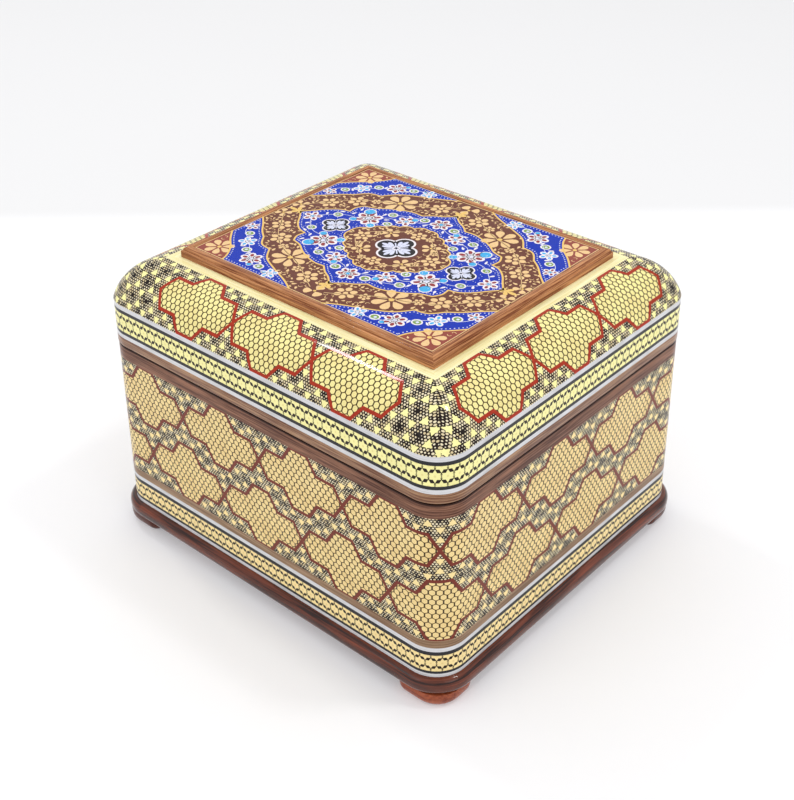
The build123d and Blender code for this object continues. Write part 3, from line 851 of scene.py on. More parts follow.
class BOX_OT_lid_shoulder(bpy.types.Operator):
    """Lay the inlaid sheets over the domed shoulder of the lid, three cartouches to a side"""

    bl_idname = "box.lid_shoulder"
    bl_label = "Lid shoulder sheets"

    rows = 14
    column = 0.7
    shifts = (2.4, 0.3, 0.0, 0.0)

    def execute(self, context):
        plan_settings, inlay, colours = context.scene.box_plan, context.scene.box_inlay, context.scene.box_finish
        low, high = span("lid_shoulder_inlay")
        strip_low, strip_high = span("border_strip_front")
        top_half = Vector((strip_high.x, -strip_low.y))
        run = high.x - top_half.x
        rise = strip_high.z - low.z
        arc = shoulder_arc(run, rise)
        length = arc["length"]
        unit = inlay.lid_unit
        pieces = []
        for quarter, shift in enumerate(self.shifts):
            half_run, half_deep = (top_half.x, top_half.y) if quarter % 2 == 0 else (top_half.y, top_half.x)
            turn = Matrix.Rotation(quarter * math.pi / 2, 3, "Z")

            def section(distance):
                angle = arc["start"] + distance / arc["radius"]
                out = arc["centre"][0] + arc["radius"] * math.cos(angle)
                up = arc["centre"][1] + arc["radius"] * math.sin(angle)
                corner = plan_settings.lid_corner_radius * max(out, 0.0) / run
                return out, up, max(corner, 0.5)

            def edge(distance):
                out, up, corner = section(distance)
                return half_run + out - corner * (1 - math.sqrt(0.5))

            def place_at(x, distance):
                out, up, corner = section(distance)
                straight = half_run + out - corner
                deep = half_deep + out
                if abs(x) > straight:
                    share = min((abs(x) - straight) / corner, 0.999)
                    deep = deep - corner + corner * math.sqrt(1 - share * share)
                return Vector((x, -deep, low.z + up))

            def wrap(spot):
                x, distance = spot
                place = place_at(x, distance)
                step = 0.02
                inward = step if distance + step <= length else -step
                along = place_at(x + step, distance) - place_at(x - step, distance)
                upward = (place_at(x, distance + inward) - place) * (1 if inward > 0 else -1)
                return turn @ place, turn @ along.cross(upward).normalized()

            levels = [length * k / self.rows for k in range(self.rows + 1)]
            border = [(-edge(t), t) for t in levels][::-1] + [(edge(t), t) for t in levels]
            shape = cartouche(unit, ROOT3 / 2 * unit, length / 2 - inlay.outline / 2 + 0.1)
            centres = [(shift + k * 5 * unit, length / 2) for k in (-1, 0, 1)]
            rings = cartouche_rings(shape, centres, inlay.outline)
            outlines = [outline for ring in rings for outline in ring[:2]]
            lines = [((-edge(t), t), (edge(t), t)) for t in levels[1:-1]]
            curve_start = half_run - 1.0
            for k in range(int((edge(0) - curve_start) / self.column) + 1):
                x = curve_start + k * self.column
                lines += [((x, -1), (x, length + 1)), ((-x, -1), (-x, length + 1))]
            spots, faces = flat_triangles(outlines, lines, border)

            def tag_of(middle):
                return cartouche_tag(rings, middle, 3 * unit, (shift + 2.5 * unit, length / 2))

            pieces.append(closed_shell(spots, faces, wrap, plan_settings.veneer, tag_of))
        points, all_faces, tags, maps, normals = [], [], [], [], []
        for shell in pieces:
            base = len(points)
            points += shell[0]
            all_faces += [tuple(i + base for i in face) for face in shell[1]]
            tags += shell[2]
            maps += shell[3]
            normals += shell[4]
        pitch = unit / inlay.cells_per_unit
        materials = [
            honeycomb_material("lid_honeycomb", pitch, 1.04, (*colours.honey,), 0.9),
            outline_material("lid_outline", (*colours.outline,)),
            star_field_material("lid_star_field", unit, 1.0, (*colours.honey,)),
        ]
        piece = add_piece("lid_khatam_shoulder", points, all_faces, materials, tags, maps, normals)
        settle(piece, "lid", "field_inlay", "lid_shoulder_inlay")
        return {"FINISHED"}


def shoulder_arc(run, rise, fullness=0.648):
    """Circle through the foot, middle and top of the shoulder's section, out and up from the strip's edge."""
    foot, middle, top = Vector((run, 0)), Vector((run, rise)) * fullness, Vector((0, rise))
    a, b = middle - foot, top - foot
    twist = 2 * (a.x * b.y - a.y * b.x)
    centre = foot + Vector(
        ((b.y * a.dot(a) - a.y * b.dot(b)) / twist, (a.x * b.dot(b) - b.x * a.dot(a)) / twist)
    )
    radius = (foot - centre).length
    start = math.atan2(-centre.y, run - centre.x)
    stop = math.atan2(rise - centre.y, -centre.x)
    return {"centre": centre, "radius": radius, "start": start, "length": radius * (stop - start)}


class BOX_OT_star_bands(bpy.types.Operator):
    """Run the two bands of six-pointed stars round the base and the lid"""

    bl_idname = "box.star_bands"
    bl_label = "Star bands"

    def execute(self, context):
        plan_settings, inlay, colours = context.scene.box_plan, context.scene.box_inlay, context.scene.box_finish
        radii = plan_settings.corner_radius, plan_settings.lid_corner_radius
        for name, node, body, stars, radius, pale in (
            ("base_star_band", "base_inlay_band", "box", inlay.base_stars, radii[0], colours.honey_body),
            ("lid_star_band", "lid_inlay_band", "lid", inlay.lid_stars, radii[1], colours.honey),
        ):
            low, high = span(node)
            plan = RoundedPlan(high.x, high.y, radius)
            pitch = plan.length / stars
            height = high.z - low.z
            material = star_band_material(name + "_stars", pitch, ROOT3 * pitch / height, (*pale,))
            profile = ring_profile(low.z, high.z, plan_settings.veneer)
            piece = sweep(name, plan, profile, [material], v_centre=height / 2)
            settle(piece, body, "star_inlay", node)
        return {"FINISHED"}


class BOX_OT_stringing(bpy.types.Operator):
    """Run the bone and ebony lines, and the walnut strip, round the box"""

    bl_idname = "box.stringing"
    bl_label = "Stringing"

    def execute(self, context):
        plan_settings, colours = context.scene.box_plan, context.scene.box_finish
        bone = stringing_material("bone_stringing", (*colours.bone,), srgb(176, 174, 172))
        ebony = stringing_material("ebony_stringing", (*colours.ebony,), srgb(20, 18, 20))
        strip = wood_material("walnut_strip_wood", srgb(172, 142, 112), srgb(112, 80, 56))
        lines = (
            ("base_white_line", "box", bone, "bone_line"),
            ("base_black_line", "box", ebony, "ebony_line"),
            ("base_upper_black_line", "box", ebony, "ebony_line"),
            ("base_upper_white_line", "box", bone, "bone_line"),
            ("body_walnut_strip", "box", strip, "rim_wood"),
            ("lid_white_line", "lid", bone, "bone_line"),
            ("lid_black_line", "lid", ebony, "ebony_line"),
            ("lid_upper_black_line", "lid", ebony, "ebony_line"),
            ("lid_upper_white_line", "lid", bone, "bone_line"),
        )
        for node, body, material, slot in lines:
            low, high = span(node)
            radius = plan_settings.corner_radius if body == "box" else plan_settings.lid_corner_radius
            plan = RoundedPlan(high.x, high.y, radius)
            profile = ring_profile(low.z, high.z, plan_settings.veneer)
            settle(sweep(node + "_stringing", plan, profile, [material]), body, slot, node)
        return {"FINISHED"}


class BOX_OT_rims(bpy.types.Operator):
    """Shape the walnut rims on both sides of the seam, with softened edges, and lay painted shade on their faces at
    the seam
    """

    bl_idname = "box.rims"
    bl_label = "Walnut rims"

    def execute(self, context):
        plan_settings, colours = context.scene.box_plan, context.scene.box_finish
        dark = tuple(c * 0.42 for c in colours.walnut)
        body_wood = wood_material("body_rim_wood", srgb(158, 112, 88), srgb(82, 48, 36), streaks=0.75)
        lid_wood = wood_material(
            "lid_rim_wood", srgb(180, 140, 106), srgb(104, 62, 42), figure=0.5, streaks=0.85
        )
        # The seam material is near-black painted shade for the faces at the gap between lid and body.
        seam = stringing_material("seam_painted_shade", srgb(54, 28, 18), srgb(28, 14, 9))
        back_wood = wood_material("back_rim_wood", (*colours.walnut,), dark, use_map=False)
        edge, soft = 0.5, 0.15
        for prefix, body, wood, radius, width in (
            ("body_rim_", "box", body_wood, plan_settings.corner_radius, 7.0),
            ("lid_rim_", "lid", lid_wood, plan_settings.lid_corner_radius, 7.2),
        ):
            _, right_high = span(prefix + "right")
            front_low, front_high = span(prefix + "front")
            plan = RoundedPlan(right_high.x, -front_low.y, radius)
            low, high = front_low.z, front_high.z
            # These profile sides, the softened edge and the face across the gap, take the seam's painted shade.
            if body == "box":
                outer = [(0, low), (0, high - edge), (-soft, high - soft), (-edge, high)]
                seam_shade_and_wall_stain = (1, 2, 3)
            else:
                outer = [(-edge, low), (-soft, low + soft), (0, low + edge), (0, high)]
                seam_shade_and_wall_stain = (0, 5)
            outer += [(-width, high), (-width, low)]
            front_run, arc, side_run = plan.runs[0], plan.arc, plan.runs[2]
            stretches = {
                "front": (-arc / 2, front_run + arc / 2),
                "right": (front_run + arc / 2, front_run + arc * 1.5 + side_run),
                "left": (-arc * 1.5 - side_run, -arc / 2),
            }
            for side, stretch in stretches.items():
                name = prefix + side + "_wood"
                piece = sweep(name, plan, outer, [wood, seam], stretch=stretch, second=seam_shade_and_wall_stain)
                settle(piece, body, "rim_wood", prefix + side)
            give_material(prefix + "back", back_wood)
        return {"FINISHED"}


def give_material(node, material):
    """Finish a CAD node whose own shape stays, by filling its material slots."""
    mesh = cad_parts[node].data
    if not mesh.materials:
        mesh.materials.append(material)
    for index in range(len(mesh.materials)):
        mesh.materials[index] = material


class BOX_OT_plinth(bpy.types.Operator):
    """Turn the bullnose plinth and the four feet under it"""

    bl_idname = "box.plinth"
    bl_label = "Plinth and feet"

    def execute(self, context):
        plan_settings, colours = context.scene.box_plan, context.scene.box_finish
        low, high = span("plinth_board")
        plan = RoundedPlan(high.x, high.y, plan_settings.plinth_corner_radius)
        depth, under, over = 9.0, 1.8, 2.4
        turns = [math.radians(angle) for angle in range(0, 91, 15)]
        profile = [(-depth, low.z)]
        profile += [(-under + under * math.sin(t), low.z + under - under * math.cos(t)) for t in turns]
        profile += [(-over + over * math.cos(t), high.z - over + over * math.sin(t)) for t in turns]
        profile.append((-depth, high.z))
        wood = wood_material(
            "plinth_mahogany", (*colours.plinth,), srgb(40, 14, 10), figure=0.7, streaks=0.6, gloss=0.2, coat=1.0,
            coat_roughness=0.02,
        )
        moulding = sweep("plinth_moulding", plan, profile, [wood], closed_profile=False)
        settle(moulding, "box", "plinth_wood", "plinth_board")
        coat_wear_and_foot_wood = wood_material(
            "foot_stain", (*colours.feet,), srgb(120, 50, 28), use_map=False, gloss=0.24, coat_roughness=0.06
        )
        # The feet other than the near one get a darker copy of the foot wood: painted shade, as for feet in the shadow
        # under the plinth.
        dark = wood_material(
            "foot_painted_shade", srgb(112, 54, 36), srgb(60, 24, 16), use_map=False, gloss=0.24, coat_roughness=0.06
        )
        for name, x_sign, y_sign in (
            ("foot_front_right", 1, -1), ("foot_front_left", -1, -1),
            ("foot_back_right", 1, 1), ("foot_back_left", -1, 1),
        ):
            # The near foot keeps the foot wood; the other three take its painted-shade copy.
            piece = self.foot(name, x_sign, y_sign, coat_wear_and_foot_wood if name == "foot_front_right" else dark)
            settle(piece, "box", "foot_wood", name)
        return {"FINISHED"}

    def foot(self, name, x_sign, y_sign, wood):
        """Draw in a rounded block to a smaller flat underneath, in smooth rings."""
        low, high = span(name)
        middle = (low + high) / 2
        half_x, half_y = (high.x - low.x) / 2, (high.y - low.y) / 2
        outer_radius, inner_radius, least_radius, draw_in = 9.0, 4.0, 0.6, 1.6
        shares = (
            (0.0, 1.15), (0.03, 0.98), (0.1, 0.74), (0.2, 0.46), (0.35, 0.2), (0.55, 0.05), (0.75, 0.0), (1.0, 0.0)
        )
        steps = 8
        points = []
        for rise, taper in shares:
            inset = draw_in * taper
            z = low.z + rise * (high.z - low.z)
            for quarter, (sx, sy) in enumerate(QUADRANTS):
                corner = outer_radius if (sx, sy) == (x_sign, y_sign) else inner_radius
                radius = max(corner - inset, least_radius)
                x, y = middle.x + sx * (half_x - inset - radius), middle.y + sy * (half_y - inset - radius)
                for k in range(steps + 1):
                    angle = math.pi / 2 * (quarter + k / steps)
                    points.append((x + radius * math.cos(angle), y + radius * math.sin(angle), z))
        size = 4 * (steps + 1)
        faces = []
        for level in range(len(shares) - 1):
            for k in range(size):
                nxt = (k + 1) % size
                a, b = level * size + k, level * size + nxt
                faces.append((a, b, b + size, a + size))
        faces.append(tuple(range(size))[::-1])
        faces.append(tuple(range((len(shares) - 1) * size, len(shares) * size)))
        return add_piece(name + "_block", points, faces, [wood])


def mitred_run(name, half, quarter, profile, materials):
    """Make one straight side of a mitred border from a profile of (inward, height) points."""
    half_run, half_deep = half if quarter % 2 == 0 else half[::-1]
    turn = Matrix.Rotation(quarter * math.pi / 2, 3, "Z")
    count = 12
    points, faces, maps = [], [], []
    for k in range(count + 1):
        for inward, height in profile:
            x = (half_run - inward) * (2 * k / count - 1)
            points.append(tuple(turn @ Vector((x, -(half_deep - inward), height))))
    size = len(profile)
    lengths = [0.0]
    for (a, b), (c, d) in zip(profile, list(profile[1:]) + [profile[0]]):
        lengths.append(lengths[-1] + math.hypot(c - a, d - b))

    def along(k, j):
        return (half_run - profile[j % size][0]) * (2 * k / count - 1) + quarter * 500

    for k in range(count):
        for j in range(size):
            nxt = (j + 1) % size
            here, there = k * size, (k + 1) * size
            faces.append((here + j, there + j, there + nxt, here + nxt))
            maps.append((
                (along(k, j), lengths[j]), (along(k + 1, j), lengths[j]),
                (along(k + 1, nxt), lengths[j + 1]), (along(k, nxt), lengths[j + 1]),
            ))
    for base, flip in ((0, False), (count * size, True)):
        loop = [base + j for j in range(size)]
        loop = loop[::-1] if flip else loop
        faces.append(loop)
        maps.append([(points[i][0], points[i][1]) for i in loop])
    return add_piece(name, points, faces, materials, maps=maps)


class BOX_OT_border(bpy.types.Operator):
    """Mitre the pale border strips round the flat top"""

    bl_idname = "box.border"
    bl_label = "Border strips"

    def execute(self, context):
        colours = context.scene.box_finish
        wood = wood_material(
            "border_boxwood", (*colours.border,), srgb(232, 214, 132), figure=0.3, gloss=0.24
        )
        low, high = span("border_strip_front")
        half = (high.x, -low.y)
        width = high.y - low.y
        profile = [(0, low.z), (0, high.z - 0.1), (0.1, high.z), (width, high.z), (width, low.z)]
        for quarter, side in enumerate(SIDES):
            piece = mitred_run("border_strip_" + side + "_boxwood", half, quarter, profile, [wood])
            settle(piece, "lid", "border_wood", "border_strip_" + side)
        return {"FINISHED"}


class BOX_OT_frame(bpy.types.Operator):
    """Mitre the raised frame round the painted panel"""

    bl_idname = "box.frame_moulding"
    bl_label = "Frame moulding"

    def execute(self, context):
        low, high = span("frame_moulding_front")
        half = (high.x, -low.y)
        width = high.y - low.y
        bottom, top = low.z, high.z
        face, step = top - 1.4, 0.6
        crown = top - face - step
        profile = [(0, bottom), (0, face), (0.1, face + 0.25)]
        profile += [(0.35, face + 0.35), (step, face + 0.35), (step, face + step)]
        for angle in range(15, 91, 15):
            turn = math.radians(angle)
            profile.append((step + crown * (1 - math.cos(turn)), face + step + crown * math.sin(turn)))
        profile += [(width - 0.3, top), (width - 0.09, top - 0.09), (width, top - 0.3), (width, bottom)]
        light = (*context.scene.box_finish.frame_wood,)
        wood = wood_material("frame_walnut", light, srgb(120, 64, 36), figure=0.35, streaks=0.9, gloss=0.4, coat=0.25)
        for quarter, side in enumerate(SIDES):
            piece = mitred_run("frame_moulding_" + side + "_wood", half, quarter, profile, [wood])
            settle(piece, "lid", "frame_wood", "frame_moulding_" + side)
        return {"FINISHED"}


def ellipse(x, y, width, height, turn=0.0, count=14):
    """Closed outline of an ellipse, given by its two radii."""
    spin_x, spin_y = math.cos(turn), math.sin(turn)
    outline = []
    for k in range(count):
        angle = 2 * math.pi * k / count
        along, across = width * math.cos(angle), height * math.sin(angle)
        outline.append((x + along * spin_x - across * spin_y, y + along * spin_y + across * spin_x))
    return outline


def petal(x, y, length, width, turn):
    """Closed outline of a petal that starts at a point and widens away from it."""
    shape = ((0, 0), (0.2, 0.42), (0.5, 0.92), (0.75, 1.0), (0.93, 0.62), (1.0, 0.0))
    outline = [(length * a, width / 2 * b) for a, b in shape]
    outline += [(length * a, -width / 2 * b) for a, b in shape[-2:0:-1]]
    spin_x, spin_y = math.cos(turn), math.sin(turn)
    return [(x + a * spin_x - b * spin_y, y + a * spin_y + b * spin_x) for a, b in outline][::-1]


def smooth_line(points, steps=6):
    """Curve through the given points."""
    curve = []
    last = len(points) - 1
    for k in range(last):
        p0, p1, p2, p3 = (Vector(points[max(0, min(last, k + d))]) for d in (-1, 0, 1, 2))
        for s in range(steps):
            t = s / steps
            curve.append(tuple(0.5 * (
                2 * p1 + (p2 - p0) * t + (2 * p0 - 5 * p1 + 4 * p2 - p3) * t * t + (3 * p1 - p0 - 3 * p2 + p3) * t ** 3
            )))
    curve.append(tuple(points[-1]))
    return curve


def scallops(nodes, bulge, steps=6):
    """Join nodes by arcs that bulge to the left of the way they run."""
    curve = []
    for start, end in zip(nodes[:-1], nodes[1:]):
        a, b = Vector(start), Vector(end)
        chord = b - a
        side = Vector((-chord.y, chord.x)) * bulge
        for s in range(steps):
            t = s / steps
            curve.append(tuple(a + chord * t + side * (4 * t * (1 - t)) * 0.5))
    curve.append(tuple(nodes[-1]))
    return curve


def full_outline(quadrant):
    """Join the four mirror images of a line from the top tip to the right tip into one closed outline."""
    loop = []
    for sx, sy, flip in ((1, 1, False), (1, -1, True), (-1, -1, False), (-1, 1, True)):
        part = [(x * sx, y * sy) for x, y in quadrant]
        part = part[::-1] if flip else part
        loop += part[:-1]
    return loop[::-1]


class PaintLayer:
    """One colour of paint: flat shapes that stand a hair above the panel's ground."""

    def __init__(self, floor, height):
        self.floor, self.top = floor, floor + height
        self.points, self.faces = [], []

    def shape(self, outline):
        """Add a closed shape with a flat top."""
        first, count = len(self.points), len(outline)
        area = sum(a[0] * b[1] - b[0] * a[1] for a, b in zip(outline, outline[1:] + outline[:1]))
        if area < 0:
            outline = outline[::-1]
        self.points += [(x, y, self.floor) for x, y in outline] + [(x, y, self.top) for x, y in outline]
        self.faces.append(tuple(range(first + count, first + 2 * count)))
        self.faces.append(tuple(range(first, first + count))[::-1])
        for k in range(count):
            nxt = (k + 1) % count
            self.faces.append((first + k, first + nxt, first + count + nxt, first + count + k))

    def line(self, path, width, closed=False):
        """Add a painted line of even width."""
        count = len(path)
        first = len(self.points)
        for k in range(count):
            here = Vector(path[k])
            before = Vector(path[k - 1]) if closed or k else here
            after = Vector(path[(k + 1) % count]) if closed or k < count - 1 else here
            arriving, leaving = here - before, after - here
            first_way = (arriving if arriving.length > 1e-9 else leaving).normalized()
            second_way = leaving.normalized() if leaving.length > 1e-9 else first_way
            normal = Vector((-(first_way + second_way).y, (first_way + second_way).x))
            normal = normal.normalized() if normal.length > 1e-6 else Vector((-first_way.y, first_way.x))
            stretch = 1 / max(abs(normal.dot(Vector((-first_way.y, first_way.x)))), 0.55)
            for side in (-1, 1):
                spot = here + normal * (side * width / 2 * stretch)
                self.points += [(spot.x, spot.y, self.floor), (spot.x, spot.y, self.top)]
        pairs = [(k, k + 1) for k in range(count - 1)] + ([(count - 1, 0)] if closed else [])
        for a, b in pairs:
            a, b = first + 4 * a, first + 4 * b
            self.faces += [
                (a + 1, b + 1, b + 3, a + 3), (a, a + 2, b + 2, b),
                (a, b, b + 1, a + 1), (a + 2, a + 3, b + 3, b + 2),
            ]
        if not closed:
            a, b = first, first + 4 * (count - 1)
            self.faces += [(a, a + 1, a + 3, a + 2), (b, b + 2, b + 3, b + 1)]

    def build(self, name, material):
        """Make one piece of all that the colour has painted."""
        return add_piece(name, self.points, self.faces, [material])


class BOX_OT_painted_panel(bpy.types.Operator):
    """Paint the panel: a lobed blue field on brown, a medallion, four crescents and rows of flowers"""

    bl_idname = "box.painted_panel"
    bl_label = "Painted panel"

    def execute(self, context):
        low, high = span("painted_panel")
        paint_room, key = 0.06, 0.02
        ground_top = high.z - paint_room
        self.half = (high.x, high.y)
        board = paint_material("panel_brown_ground", srgb(114, 66, 52), 0.5)
        plan_points = [(-high.x, -high.y), (high.x, -high.y), (high.x, high.y), (-high.x, high.y)]
        points = [(x, y, low.z) for x, y in plan_points] + [(x, y, ground_top) for x, y in plan_points]
        faces = [(3, 2, 1, 0), (4, 5, 6, 7), (0, 1, 5, 4), (1, 2, 6, 5), (2, 3, 7, 6), (3, 0, 4, 7)]
        panel = add_piece("panel_board", points, faces, [board])
        settle(panel, "lid", "painted_panel", "painted_panel")
        floor = ground_top - key
        heights = {
            "blue": 0.03, "rose": 0.032, "brown": 0.036, "tan": 0.042, "gold": 0.048, "white": 0.052,
            "black": 0.056, "red": 0.06, "sky": 0.062, "green": 0.064, "pearl": 0.07,
        }
        self.layers = {colour: PaintLayer(floor, height) for colour, height in heights.items()}
        self.placed = []
        self.draw_fields()
        self.draw_blue_flowers()
        self.draw_brown_flowers()
        self.draw_quatrefoils()
        self.draw_dots()
        paints = {
            "blue": srgb(10, 50, 178), "rose": srgb(150, 74, 62), "brown": srgb(108, 60, 46),
            "tan": srgb(240, 202, 146), "gold": srgb(240, 200, 116), "white": srgb(246, 240, 244),
            "black": srgb(34, 32, 36), "red": srgb(150, 60, 62), "sky": srgb(70, 176, 232),
            "green": srgb(130, 160, 84), "pearl": srgb(222, 226, 248),
        }
        for colour, layer in self.layers.items():
            piece = layer.build("panel_paint_" + colour, paint_material("paint_" + colour, paints[colour]))
            settle(piece, "lid", "painted_panel")
        return {"FINISHED"}

    def lines(self, colour, path, width):
        """Paint a line and its three mirror images."""
        for sx, sy in QUADRANTS:
            self.layers[colour].line([(x * sx, y * sy) for x, y in path], width)

    def everywhere(self, colour, outline, about):
        """Add a shape and its mirror images, once where the middle of its motif lies on a middle line."""
        x, y = about
        for sx, sy in QUADRANTS:
            if (sx < 0 and abs(x) < 0.3) or (sy < 0 and abs(y) < 0.3):
                continue
            self.layers[colour].shape([(px * sx, py * sy) for px, py in outline])

    def draw_fields(self):
        """Lay in the blue field, the medallion, the crescents, the corners and their gold lines."""
        lobe_one = smooth_line([(0, 32.2), (3.2, 29.2), (6.6, 27.2), (9.6, 24.6)])
        lobe_two = smooth_line([(9.6, 24.6), (13.5, 24.8), (18, 23.6), (22.6, 21.4), (26.4, 18.8), (30.4, 17.6)])
        lobe_three = smooth_line([(30.4, 17.6), (31.9, 14.6), (31.6, 11.2)])
        lobe_four = smooth_line([(31.6, 11.2), (35.2, 10.2), (38.8, 7.2), (41.6, 3.6), (44.6, 0)])
        self.field = full_outline(lobe_one[:-1] + lobe_two[:-1] + lobe_three[:-1] + lobe_four)
        self.layers["blue"].shape(self.field)
        self.layers["gold"].line(self.field, 0.62, closed=True)
        nodes = [(0, 17.2), (5.2, 15.2), (9.8, 12.6), (13.9, 9.6), (17.2, 5.6), (21.0, 0)]
        self.medallion = full_outline(scallops(nodes, 0.42))
        self.layers["brown"].shape(self.medallion)
        self.layers["gold"].line(self.medallion, 0.55, closed=True)
        half_x, half_y = self.half[0] - 0.05, self.half[1] - 0.05
        inner = smooth_line([(7.0, half_y), (12.5, 39.8), (20.5, 36.4), (27.5, 32.8), (31.8, 27.6)])
        inner += smooth_line([(31.8, 27.6), (36.4, 26.6), (40.0, 22.4)])[1:]
        inner += smooth_line([(40.0, 22.4), (43.6, 19.6), (47.8, 15.2), (half_x, 11.6)])[1:]
        outer = smooth_line([(half_x, 26.0), (47.6, 30.6), (42.8, 35.0), (39.6, 39.4), (38.2, half_y)])
        self.crescent = inner + outer
        self.corner = outer + [(half_x, half_y)]
        for sx, sy in QUADRANTS:
            self.layers["blue"].shape([(x * sx, y * sy) for x, y in self.crescent])
            self.layers["rose"].shape([(x * sx, y * sy) for x, y in self.corner])
            self.layers["gold"].line([(x * sx, y * sy) for x, y in inner], 0.62)
            self.layers["gold"].line([(x * sx, y * sy) for x, y in outer], 0.62)
        for x, y, turn in ((0, 32.6, 90), (45.2, 0, 0)):
            for spread, reach in ((0, 4.6), (48, 3.0), (-48, 3.0), (140, 1.8), (-140, 1.8)):
                self.everywhere("gold", petal(x, y, reach, 1.5, math.radians(turn + spread)), (x, y))
        edge = [(-half_x + 0.2, -half_y + 0.2), (half_x - 0.2, -half_y + 0.2)]
        edge += [(half_x - 0.2, half_y - 0.2), (-half_x + 0.2, half_y - 0.2)]
        self.layers["tan"].line(edge, 0.3, closed=True)

    def flower(self, x, y, radius, petals, fill, heart, turn=0.0):
        """A flower of white-edged petals round a coloured heart."""
        for k in range(petals):
            angle = turn + 2 * math.pi * k / petals
            px, py = x + radius * 0.62 * math.cos(angle), y + radius * 0.62 * math.sin(angle)
            self.everywhere("white", ellipse(px, py, radius * 0.43, radius * 0.35, angle, 12), (x, y))
            self.everywhere(fill, ellipse(px, py, radius * 0.25, radius * 0.17, angle, 10), (x, y))
        self.everywhere("white", ellipse(x, y, radius * 0.3, radius * 0.3, 0, 12), (x, y))
        self.everywhere(heart, ellipse(x, y, radius * 0.18, radius * 0.18, 0, 10), (x, y))

    def eye(self, x, y, radius):
        """A small ringed bud."""
        self.everywhere("white", ellipse(x, y, radius, radius * 0.92, 0, 14), (x, y))
        self.everywhere("green", ellipse(x, y, radius * 0.74, radius * 0.66, 0, 12), (x, y))
        self.everywhere("pearl", ellipse(x + radius * 0.1, y, radius * 0.3, radius * 0.3, 0, 8), (x, y))

    def disc(self, x, y, radius):
        """A sky-blue berry in a white ring."""
        self.everywhere("white", ellipse(x, y, radius, radius, 0, 16), (x, y))
        self.everywhere("sky", ellipse(x, y, radius * 0.82, radius * 0.82, 0, 14), (x, y))

    def draw_blue_flowers(self):
        """Set the flowers, buds, berries and stems of the blue fields."""
        stems = (
            [(1.5, 22.0), (5.0, 20.0), (9.8, 18.6), (13.2, 16.4), (17.5, 15.6), (21.0, 12.0)],
            [(21.0, 12.0), (24.5, 9.2), (29.8, 8.4), (33.0, 6.6), (36.2, 3.6), (39.0, 0.2)],
            [(6.4, 22.8), (10.6, 21.6), (16.4, 19.4), (20.6, 17.6)],
            [(20.4, 40.2), (26.6, 39.4), (33.2, 35.6), (37.6, 31.2), (42.4, 27.2), (47.8, 23.4), (50.0, 18.6)],
        )
        for stem in stems:
            self.lines("pearl", smooth_line(stem, 5), 0.22)
        for x, y, radius, petals, fill, heart, turn in (
            (0, 23.4, 3.9, 6, "red", "sky", math.pi / 2), (11.0, 17.6, 3.5, 5, "red", "sky", 0.3),
            (22.6, 11.2, 4.9, 6, "red", "pearl", 0.2), (38.8, 0, 3.4, 5, "red", "sky", 0.0),
            (31.4, 36.4, 3.9, 6, "red", "pearl", 0.1), (41.4, 28.4, 3.2, 5, "sky", "pearl", 0.5),
            (19.4, 39.8, 3.0, 5, "sky", "pearl", 0.2), (48.8, 19.2, 2.6, 5, "red", "sky", 0.5),
        ):
            self.flower(x, y, radius, petals, fill, heart, turn)
        for x, y, radius in (
            (6.5, 22.4, 1.95), (17.8, 18.6, 1.9), (14.6, 11.9, 1.8), (32.8, 6.6, 1.85),
            (37.2, 32.8, 1.9), (25.4, 38.6, 1.9), (45.4, 23.6, 1.8),
        ):
            self.eye(x, y, radius)
        for x, y, radius in (
            (25.6, 15.4, 2.3), (18.4, 7.4, 1.7), (26.4, 7.4, 1.5), (9.2, 20.4, 1.3), (29.0, 39.6, 1.0),
        ):
            self.disc(x, y, radius)
        for x, y, turn in (
            (3.4, 20.4, -60), (13.4, 21.8, 200), (13.6, 15.2, 40), (28.8, 12.2, -70), (35.8, 3.8, 60),
            (28.0, 35.6, 140), (35.2, 35.4, -100), (39.2, 31.0, 30), (44.2, 26.0, -140), (22.4, 40.9, 200),
            (29.6, 16.2, 250), (20.4, 15.6, 100), (16.0, 15.0, -40), (34.4, 9.0, 160),
        ):
            self.everywhere("white", petal(x, y, 2.2, 0.9, math.radians(turn)), (x, y))

    def bloom(self, x, y, radius, petals, turn=0.0):
        """A tan flower whose petals show the brown ground between them."""
        self.placed.append((x, y, radius))
        for k in range(petals):
            angle = turn + 2 * math.pi * k / petals
            self.everywhere("tan", petal(
                x + radius * 0.2 * math.cos(angle), y + radius * 0.2 * math.sin(angle),
                radius * 0.85, radius * 2.2 / petals + radius * 0.18, angle,
            ), (x, y))
        self.everywhere("gold", ellipse(x, y, radius * 0.15, radius * 0.15, 0, 10), (x, y))

    def berries(self, x, y, radius, count=6, turn=0.0):
        """A ring of round tan petals about one more."""
        self.placed.append((x, y, radius))
        for k in range(count):
            angle = turn + 2 * math.pi * k / count
            px, py = x + radius * 0.66 * math.cos(angle), y + radius * 0.66 * math.sin(angle)
            self.everywhere("tan", ellipse(px, py, radius * 0.32, radius * 0.28, angle, 10), (x, y))
        self.everywhere("tan", ellipse(x, y, radius * 0.22, radius * 0.22, 0, 10), (x, y))

